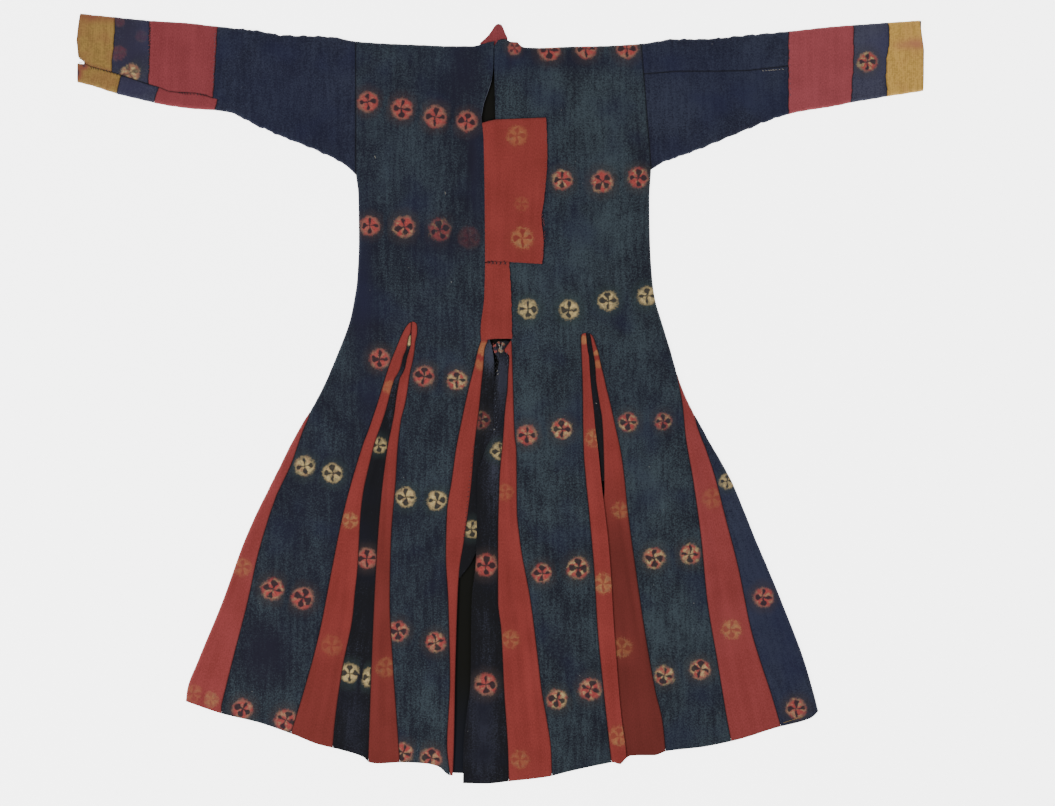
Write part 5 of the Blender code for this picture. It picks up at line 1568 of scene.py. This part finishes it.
for node, left, right, slot, finish in left_strips:
    across = band_columns(left, right)
    upper = strip_seam(across) + SEAM_GAP / 2 + 0.5 * notch(across)
    bottom = LEFT.bottom(across)
    part, offset = row_terms(36, STEP, ("seam", "fold"))
    room = np.minimum(1, (bottom - upper) / 26)
    down = upper + part * (bottom - upper) + offset * room
    across = np.broadcast_to(across, down.shape)
    lean = STRIP_SLANT * ramp((across + 712) / 60) * (down - strip_seam(across))
    edges = [edge for edge in (left, right) if edge > -NEAR_CUFF]
    stain = strip_stain if finish is YELLOW_LEFT else None
    sleeve(node, slot, LEFT, across, down, ("seam", "seam", "seam", "fold"), finish, edges, lean,
           stain=stain)

print("left cuff", tuple(round(x, 3) for x in FLAT["sleeve_left_cuff_yellow"]))

# %% The long dark part of the left sleeve, whose seam to the bands jogs at the strip
BAND_END = -488.0
STRIP_END = -479.0
JOG_DOWN = 90.8
part, offset = row_terms(230, STEP, ("fold", "fold"))
middle_top = float(LEFT.top(-485.0))
middle_rows = middle_top + part * (float(LEFT.bottom(-485.0)) - middle_top) + offset
above = middle_rows <= JOG_DOWN
start = np.where(above, BAND_END, STRIP_END) + SEAM_GAP / 2
end = np.full(len(start), LEFT.armhole_line["across"][0] - SEAM_GAP / 2)
across = spread(start[:, 0], end, STEP, ("seam", "seam"))
top = LEFT.top(across)
down = top + part * (LEFT.bottom(across) - top) + offset
lean = np.where(above, UPPER_SLANT, STRIP_SLANT) * ramp(1 - (across - BAND_END) / 97)
sleeve("sleeve_left_dark", "indigo_wool", LEFT, across, down, ("seam", "seam", "fold", "fold"),
       INDIGO_BLUE, (BAND_END,), lean * (down - strip_seam(across)))
print("left sleeve", round(FLAT["sleeve_left_dark"][0] * 1000), "mm from armhole to band")

# %% The right sleeve, whose dark part is pieced along a seam
for node, kinds, length in (("sleeve_right_dark_upper", ("fold", "seam"), 62),
                            ("sleeve_right_dark_lower", ("seam", "fold"), 110)):
    part, offset = row_terms(length, STEP, kinds)
    start = np.full(len(part), 240.0)
    for _ in range(4):
        across = spread(start + SEAM_GAP / 2, np.full(len(part), 490 - SEAM_GAP / 2), STEP,
                        ("seam", "seam"))
        top = RIGHT.top(across)
        bottom = RIGHT.bottom(across)
        seam = np.interp(across, RIGHT_PIECING["across"], RIGHT_PIECING["down"])
        if kinds[0] == "fold":
            bottom = seam - SEAM_GAP / 2
        else:
            top = seam + SEAM_GAP / 2
        down = top + part * (bottom - top) + offset
        start = RIGHT.armhole(down[:, 0])
    sleeve(node, "indigo_wool", RIGHT, across, down, ("seam", "seam", *kinds), INDIGO_BLUE,
           (490.0,))
right_bands = (
    ("sleeve_right_band_red", 490.0, 600.0, "madder_wool", MADDER_ROSE, None),
    ("sleeve_right_band_dark", 600.0, 660.0, "indigo_wool", INDIGO_FADED, None),
    ("sleeve_right_cuff_yellow", 660.0, 717.5, "yellow_wool", YELLOW_RIGHT, right_stain),
)
for node, left, right, slot, finish, stain in right_bands:
    across = band_columns(left, right)
    top = RIGHT.top(across)
    part, offset = row_terms(130, STEP, ("fold", "fold"))
    down = top + part * (RIGHT.bottom(across) - top) + offset
    across = np.broadcast_to(across, down.shape)
    if finish is YELLOW_RIGHT:
        across = to_cuff(across, down, RIGHT_CUFF, CUFF_REACH)
    edges = [edge for edge in (left, right) if edge < NEAR_CUFF]
    sleeve(node, slot, RIGHT, across, down, ("seam", "seam", "fold", "fold"), finish, edges,
           stain=stain)
print("pieces so far", len(CLOTHS))

# %% [markdown]
# ### The back
#
# The back lies flat on the floor, just inside the folds. It has the same gores as the front, set
# more evenly. Its upper side is the inside of the robe, painted near black as the shade between
# the layers.

# %% The back
BACK_THICK = 1.2
BACK_STEP = 9.0
BACK_SHORT = 4.0
CENTRE_SEAM = -2.0
FOLD_INSET = 0.5


def flat_piece(node, slot, across, down, finish):
    """A flat piece on the floor, whose upper side is the inside of the robe, painted as shade."""
    upper = points(across, down, BACK_THICK)
    lower = points(across, down, 0.0)
    return grid_piece(node, slot, across, down, upper, lower, finish, ["floor"], inside=INSIDE_IN_SHADE)


def straight(half, tip_down, tip_across, hem_across):
    """A straight seam from its tip to the hem: across = tip + slope * (down - tip down)."""
    slope = (hem_across - tip_across) / (float(half.hem(hem_across)) - tip_down)

    def line(share):
        across = np.full(len(share), tip_across)
        for _ in range(3):
            across = tip_across + slope * np.maximum(half.down(share, across) - tip_down, 0)
        return across

    return line


def back_outer(half, share):
    """Across of the back's outer edge: the armhole seam, then just inside the folded side."""
    edge = half.body_edge(share)
    sewn = half.down(share, edge) <= half.underarm
    return edge - half.way * np.where(sewn, 0.0, FOLD_INSET)


def ordered(half, outer, inner):
    """The two sides of a piece from left to right."""
    return (outer, inner) if half.way < 0 else (inner, outer)


def make_back(half, side, tip, hems, side_gores):
    """One half of the back, slit for its insertion, and the gores of the slit and the side."""
    inset = float(half.share(half.top(0.0) + FOLD_INSET, 0.0))
    end = 1 - BACK_SHORT / float(half.hem(0.0))
    share = np.linspace(inset, end, int(half.hem(0.0) / BACK_STEP))
    tip_down, tip_across = tip
    lines = [straight(half, tip_down, tip_across, hem) for hem in hems]
    start = float(half.share(tip_down, tip_across))
    slit = share > start + 0.002
    outer_slit = np.where(slit, lines[0](share), tip_across)
    inner_slit = np.where(slit, lines[-1](share), tip_across)
    edges = [lambda share: back_outer(half, share)]
    starts = []
    for _, _, _, gore_down, gore_across, hem in side_gores:
        edges.append(straight(half, gore_down, gore_across, hem))
        starts.append(float(half.share(gore_down, gore_across)))
    side_line = np.where(share > starts[-1], edges[-1](share), back_outer(half, share))
    centre = np.full(len(share), CENTRE_SEAM)
    blocks = []
    for outer, inner in ((side_line, outer_slit), (inner_slit, centre)):
        blocks.append(spread(*ordered(half, outer, inner), BACK_STEP, ("seam", "seam")))
    if half.way > 0:
        blocks = blocks[::-1]
    sizes = [block.shape[1] for block in blocks]
    rows = len(share)
    quads = slit_quads(rows, sizes, slit)
    across = np.concatenate([block.ravel() for block in blocks])
    down = half.down(np.concatenate([np.repeat(share, size) for size in sizes]), across)
    upper = points(across, down, BACK_THICK)
    lower = points(across, down, 0.0)
    cut = rows * sizes[0]
    node = f"back_{side}"
    measure(node, [upper[:cut].reshape(rows, -1, 3), upper[cut:].reshape(rows, -1, 3)])
    weave = np.stack([across, down, across * 0], axis=-1)
    # The upper side takes the painted shade of the robe's inside.
    shell(node, "indigo_wool", upper, lower, quads, weave, INDIGO, ["floor"], inside=INSIDE_IN_SHADE)
    names = (("red_1", MADDER, "madder_wool"), ("dark", INDIGO, "indigo_wool"),
             ("red_2", MADDER, "madder_wool"))
    below = share[slit]
    for k, (word, finish, slot) in enumerate(names):
        sides = ordered(half, lines[k](below), lines[k + 1](below))
        gore_across = spread(*sides, BACK_STEP, ("seam", "seam"))
        flat_piece(f"back_gore_{side}_{word}", slot, gore_across,
                   half.down(below[:, None], gore_across), finish)
    for k, (name, finish, slot, *_) in enumerate(side_gores):
        rows_here = share[share > starts[k] + 0.003]
        outer = half.way * np.minimum(half.way * edges[k](rows_here), half.way * edges[0](rows_here))
        inner = edges[k + 1](rows_here)
        gore_across = spread(*ordered(half, outer, inner), BACK_STEP, ("seam", "seam"))
        flat_piece(name, slot, gore_across, half.down(rows_here[:, None], gore_across), finish)


print("the back is", BACK_THICK, "mm thick and ends", BACK_SHORT, "mm short of the front's hem")

# %% Both halves of the back
make_back(LEFT, "left", (501.0, -150.0), (-300.0, -262.0, -222.0, -180.0), (
    ("back_side_left_dark", INDIGO, "indigo_wool", 620.0, -318.0, -500.0),
    ("back_side_left_red", MADDER, "madder_wool", 590.0, -303.0, -440.0)))
make_back(RIGHT, "right", (501.0, 150.0), (300.0, 262.0, 222.0, 180.0), (
    ("back_side_right_dark", INDIGO, "indigo_wool", 620.0, 318.0, 500.0),
    ("back_side_right_red", MADDER, "madder_wool", 590.0, 309.0, 440.0)))
print("back", {name: tuple(round(x, 3) for x in FLAT[name]) for name in ("back_left", "back_right")})

# %% The undersides of the sleeves
sleeve_backs = (
    ("sleeve_left", LEFT, (-707.0, -652.0, -590.0, -484.0), YELLOW_LEFT),
    ("sleeve_right", RIGHT, (716.0, 660.0, 600.0, 490.0), YELLOW_RIGHT),
)
for name, half, seams, yellow in sleeve_backs:
    words = (("cuff_yellow", yellow, "yellow_wool"), ("band_dark", INDIGO_BLUE, "indigo_wool"),
             ("band_red", MADDER_PINK, "madder_wool"))
    for k, (word, finish, slot) in enumerate(words):
        across = band_columns(*sorted(seams[k:k + 2]), gap=0.0)
        part, offset = row_terms(120, BACK_STEP, ("seam", "seam"))
        top = half.top(across) + FOLD_INSET
        down = top + part * (half.bottom(across) - FOLD_INSET - top) + offset
        flat_piece(f"{name}_back_{word}", slot, np.broadcast_to(across, down.shape), down, finish)
    part, offset = row_terms(200, BACK_STEP, ("seam", "seam"))
    inner = np.full(len(part), half.armhole_line["across"][0])
    outer = np.full(len(inner), seams[3])
    for _ in range(4):
        across = spread(*ordered(half, outer, inner), BACK_STEP, ("seam", "seam"))
        top = half.top(across) + FOLD_INSET
        down = top + part * (half.bottom(across) - FOLD_INSET - top) + offset
        inner = half.armhole(down[:, -1] if half.way < 0 else down[:, 0])
    flat_piece(f"{name}_back_dark", "indigo_wool", across, down, INDIGO_BLUE)
print("pieces in all", len(CLOTHS))

# %% [markdown]
# ## Stitches and loose threads
#
# The robe was sewn by hand with short slanting stitches, and its torn edges fray. Each row of the
# tables is a run of threads between two pixels: how many, how long in pixels, and how far they
# turn away from the run, in degrees. Each thread is a thin round rod with narrowed ends.

# %% Threads
THREAD_COLUMNS = "x1 y1 x2 y2 count long turn"
THREADS = {
    "dark": ("indigo_wool", (0.010, 0.010, 0.016), 0.42, table(
        THREAD_COLUMNS,
        (178, 93.2, 208, 95.6, 10, 2.0, 55), (90, 68, 111, 72.4, 8, 2.0, 60),
        (113, 74, 124, 76.5, 4, 1.6, 70), (151, 24, 150.6, 46, 8, 1.3, 15),
        (486, 262.2, 508, 263.2, 5, 3.6, 50), (488, 263, 506, 263.6, 5, 3.2, -50),
        (473.6, 444, 467.6, 499, 13, 1.3, 60),
        (467.6, 499, 463.8, 540, 10, 1.3, 60), (496, 356, 495, 388, 7, 2.6, 25),
        (498, 357, 497, 372, 4, 2.2, -30))),
    "blue": ("indigo_wool", (0.075, 0.085, 0.120), 0.32, table(
        THREAD_COLUMNS,
        (215.5, 32, 213.5, 88, 15, 1.6, 12), (495, 392, 497, 430, 7, 1.4, 20),
        (507, 352, 508, 366, 4, 2.0, 20), (789, 36, 790, 100, 10, 1.5, 10),
        (491.4, 81, 488.4, 91, 4, 3.0, 4), (488.4, 91, 483.7, 104, 5, 3.0, 3),
        (483.7, 104, 481.6, 116, 5, 2.8, 3))),
    "pale": ("yellow_wool", (0.36, 0.33, 0.27), 0.34, table(
        THREAD_COLUMNS,
        (761, 71.3, 784, 69.6, 8, 1.7, 25), (498.4, 343, 501.5, 353, 4, 3.0, 14),
        (503, 342.5, 501, 349, 3, 3.0, -20), (497, 369, 498, 375, 2, 1.2, 30),
        (596, 403, 597, 404, 1, 1.5, 0), (375, 156, 376, 160, 1, 2.0, 0),
        (445, 192, 446, 196, 1, 2.0, 10))),
    "yellow": ("yellow_wool", (0.30, 0.19, 0.06), 0.36, table(
        THREAD_COLUMNS,
        (79.5, 58.5, 83, 60.5, 3, 2.6, 20), (78.6, 63.6, 84, 62.2, 3, 2.4, -25),
        (88, 64, 110, 70.5, 8, 2.2, 18), (784, 722.4, 803, 715.8, 8, 2.6, 5))),
    "red": ("madder_wool", (0.22, 0.045, 0.040), 0.34, table(
        THREAD_COLUMNS,
        (544.9, 122, 546, 152, 9, 1.8, 70), (546, 156, 543.6, 196, 9, 1.6, 75),
        (541.6, 214, 544.6, 227, 5, 2.6, 35), (545, 231, 541.6, 258, 8, 2.4, 30),
        (485.4, 128, 485.6, 256, 26, 1.3, 85), (149.6, 30, 149.6, 80, 12, 1.4, 60),
        (493, 342, 494.5, 352, 3, 2.4, 15))),
}
print("threads in all", int(sum(runs["count"].sum() for *_, runs in THREADS.values())))

# %% Rods of twisted wool
ROD_ALONG = np.array([-0.8, 0.0, 0.0, 0.8])
ROD_WIDTH = np.array([0.35, 1.0, 1.0, 0.35])
ROD_END = np.array([0.0, 0.0, 1.0, 1.0])
ROD_SIDES = 6


def top_points():
    """Places on the upper side of every piece, in millimetres on the flat robe."""
    found = []
    for cloth, _ in CLOTHS.values():
        place = np.empty(3 * len(cloth.data.vertices), np.float32)
        cloth.data.vertices.foreach_get("co", place)
        found.append(place.reshape(-1, 3))
    found = np.vstack(found) * 1000
    found = np.stack([found[:, 0] + MIDDLE_ACROSS, MIDDLE_DOWN - found[:, 1], found[:, 2]], axis=1)
    return found[found[:, 2] > 2.4]


def thread_ends(runs):
    """Both ends of every thread of the runs, in millimetres across and down."""
    ends = []
    for x1, y1, x2, y2, count, long, turn in zip(*(runs[k] for k in runs)):
        part = (np.arange(count) + 0.5 + 0.22 * np.sin(7.1 * np.arange(count) + x1)) / count
        angle = np.arctan2(y2 - y1, x2 - x1) + np.radians(turn) * (1 + 0.35 * np.sin(5 * part + y1))
        half_long = 0.5 * long * (1 + 0.3 * np.sin(11 * part + y1))
        middle = np.stack([x1 + part * (x2 - x1), y1 + part * (y2 - y1)], axis=1)
        way = np.stack([np.cos(angle), np.sin(angle)], axis=1) * half_long[:, None]
        ends.append(np.stack([middle - way, middle + way], axis=1))
    ends = np.concatenate(ends)
    return np.stack(picture(ends[..., 0], ends[..., 1]), axis=-1)


def rods(ends, radius, tops):
    """Closed rods from end to end that lie on the cloth: rings of ROD_SIDES points round a
    straight line, at the highest point of cloth within 3 mm of each end."""
    flat = ends.reshape(-1, 2)
    height = np.empty(len(flat))
    for k, spot in enumerate(flat):
        near = np.hypot(tops[:, 0] - spot[0], tops[:, 1] - spot[1])
        within = near < max(3.0, near.min() + 0.1)
        height[k] = tops[within, 2].max()
    ends = np.concatenate([flat, height[:, None] + 0.6 * radius], axis=1).reshape(-1, 2, 3)
    start, run = ends[:, 0], ends[:, 1] - ends[:, 0]
    way = run / np.linalg.norm(run, axis=1, keepdims=True)
    side = np.stack([-way[:, 1], way[:, 0], 0 * way[:, 0]], axis=1)
    side = side / np.linalg.norm(side, axis=1, keepdims=True)
    up = np.cross(way, side)
    turn = 2 * np.pi * np.arange(ROD_SIDES) / ROD_SIDES
    ring = side[:, None, :] * np.cos(turn)[:, None] + up[:, None, :] * np.sin(turn)[:, None]
    line = start[:, None] + ROD_END[:, None] * run[:, None] + radius * ROD_ALONG[:, None] * way[:, None]
    place = line[:, :, None] + radius * ROD_WIDTH[:, None, None] * ring[:, None]
    rings = len(ROD_ALONG)
    index = np.arange(rings * ROD_SIDES).reshape(rings, ROD_SIDES)
    index = np.hstack([index, index[:, :1]])
    walls = grid_quads(index)
    caps = np.array([[0, 1, 2, 3], [0, 3, 4, 5]])
    one = np.vstack([walls, caps[:, ::-1], caps + (rings - 1) * ROD_SIDES])
    first = rings * ROD_SIDES * np.arange(len(ends))
    quads = (one[None] + first[:, None, None]).reshape(-1, 4)
    return place.reshape(-1, 3), quads


def thread_material(name, colour):
    """Twisted wool: the colour darkens in bands of half a millimetre."""
    dye = Dye(name, sheen=0.1)
    twist = dye.noise(dye.place, 1500.0, 1.0)
    dark = tuple(0.6 * c for c in colour)
    return dye.finish(dye.mix(dye.soft(twist, 0.35, 0.65), dark, colour), twist, 0.0002)


tops = top_points()
for word, (slot, colour, radius, runs) in THREADS.items():
    place, quads = rods(thread_ends(runs), radius, tops)
    twisted = thread_material(f"{word} thread", colour)
    made = mesh_of(f"threads_{word}", world(*place.T), quads, [twisted])
    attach(made, "root")
    print("threads", word, int(runs["count"].sum()))

# %% [markdown]
# ## Each piece as flat cloth
#
# Every piece is printed with the size it was cut to and its area.

# %% Sheets
SHEET_MIN = 0.0101
for node, (cloth, rests_on) in CLOTHS.items():
    width, length, area = FLAT[node]
    width, length = max(width, SHEET_MIN), max(length, SHEET_MIN)
    print(f"{node}: {1000 * width:.0f} x {1000 * length:.0f} mm, {area:.4f} m2")
print("cloth in all", round(sum(size[2] for size in FLAT.values()), 3), "m2")
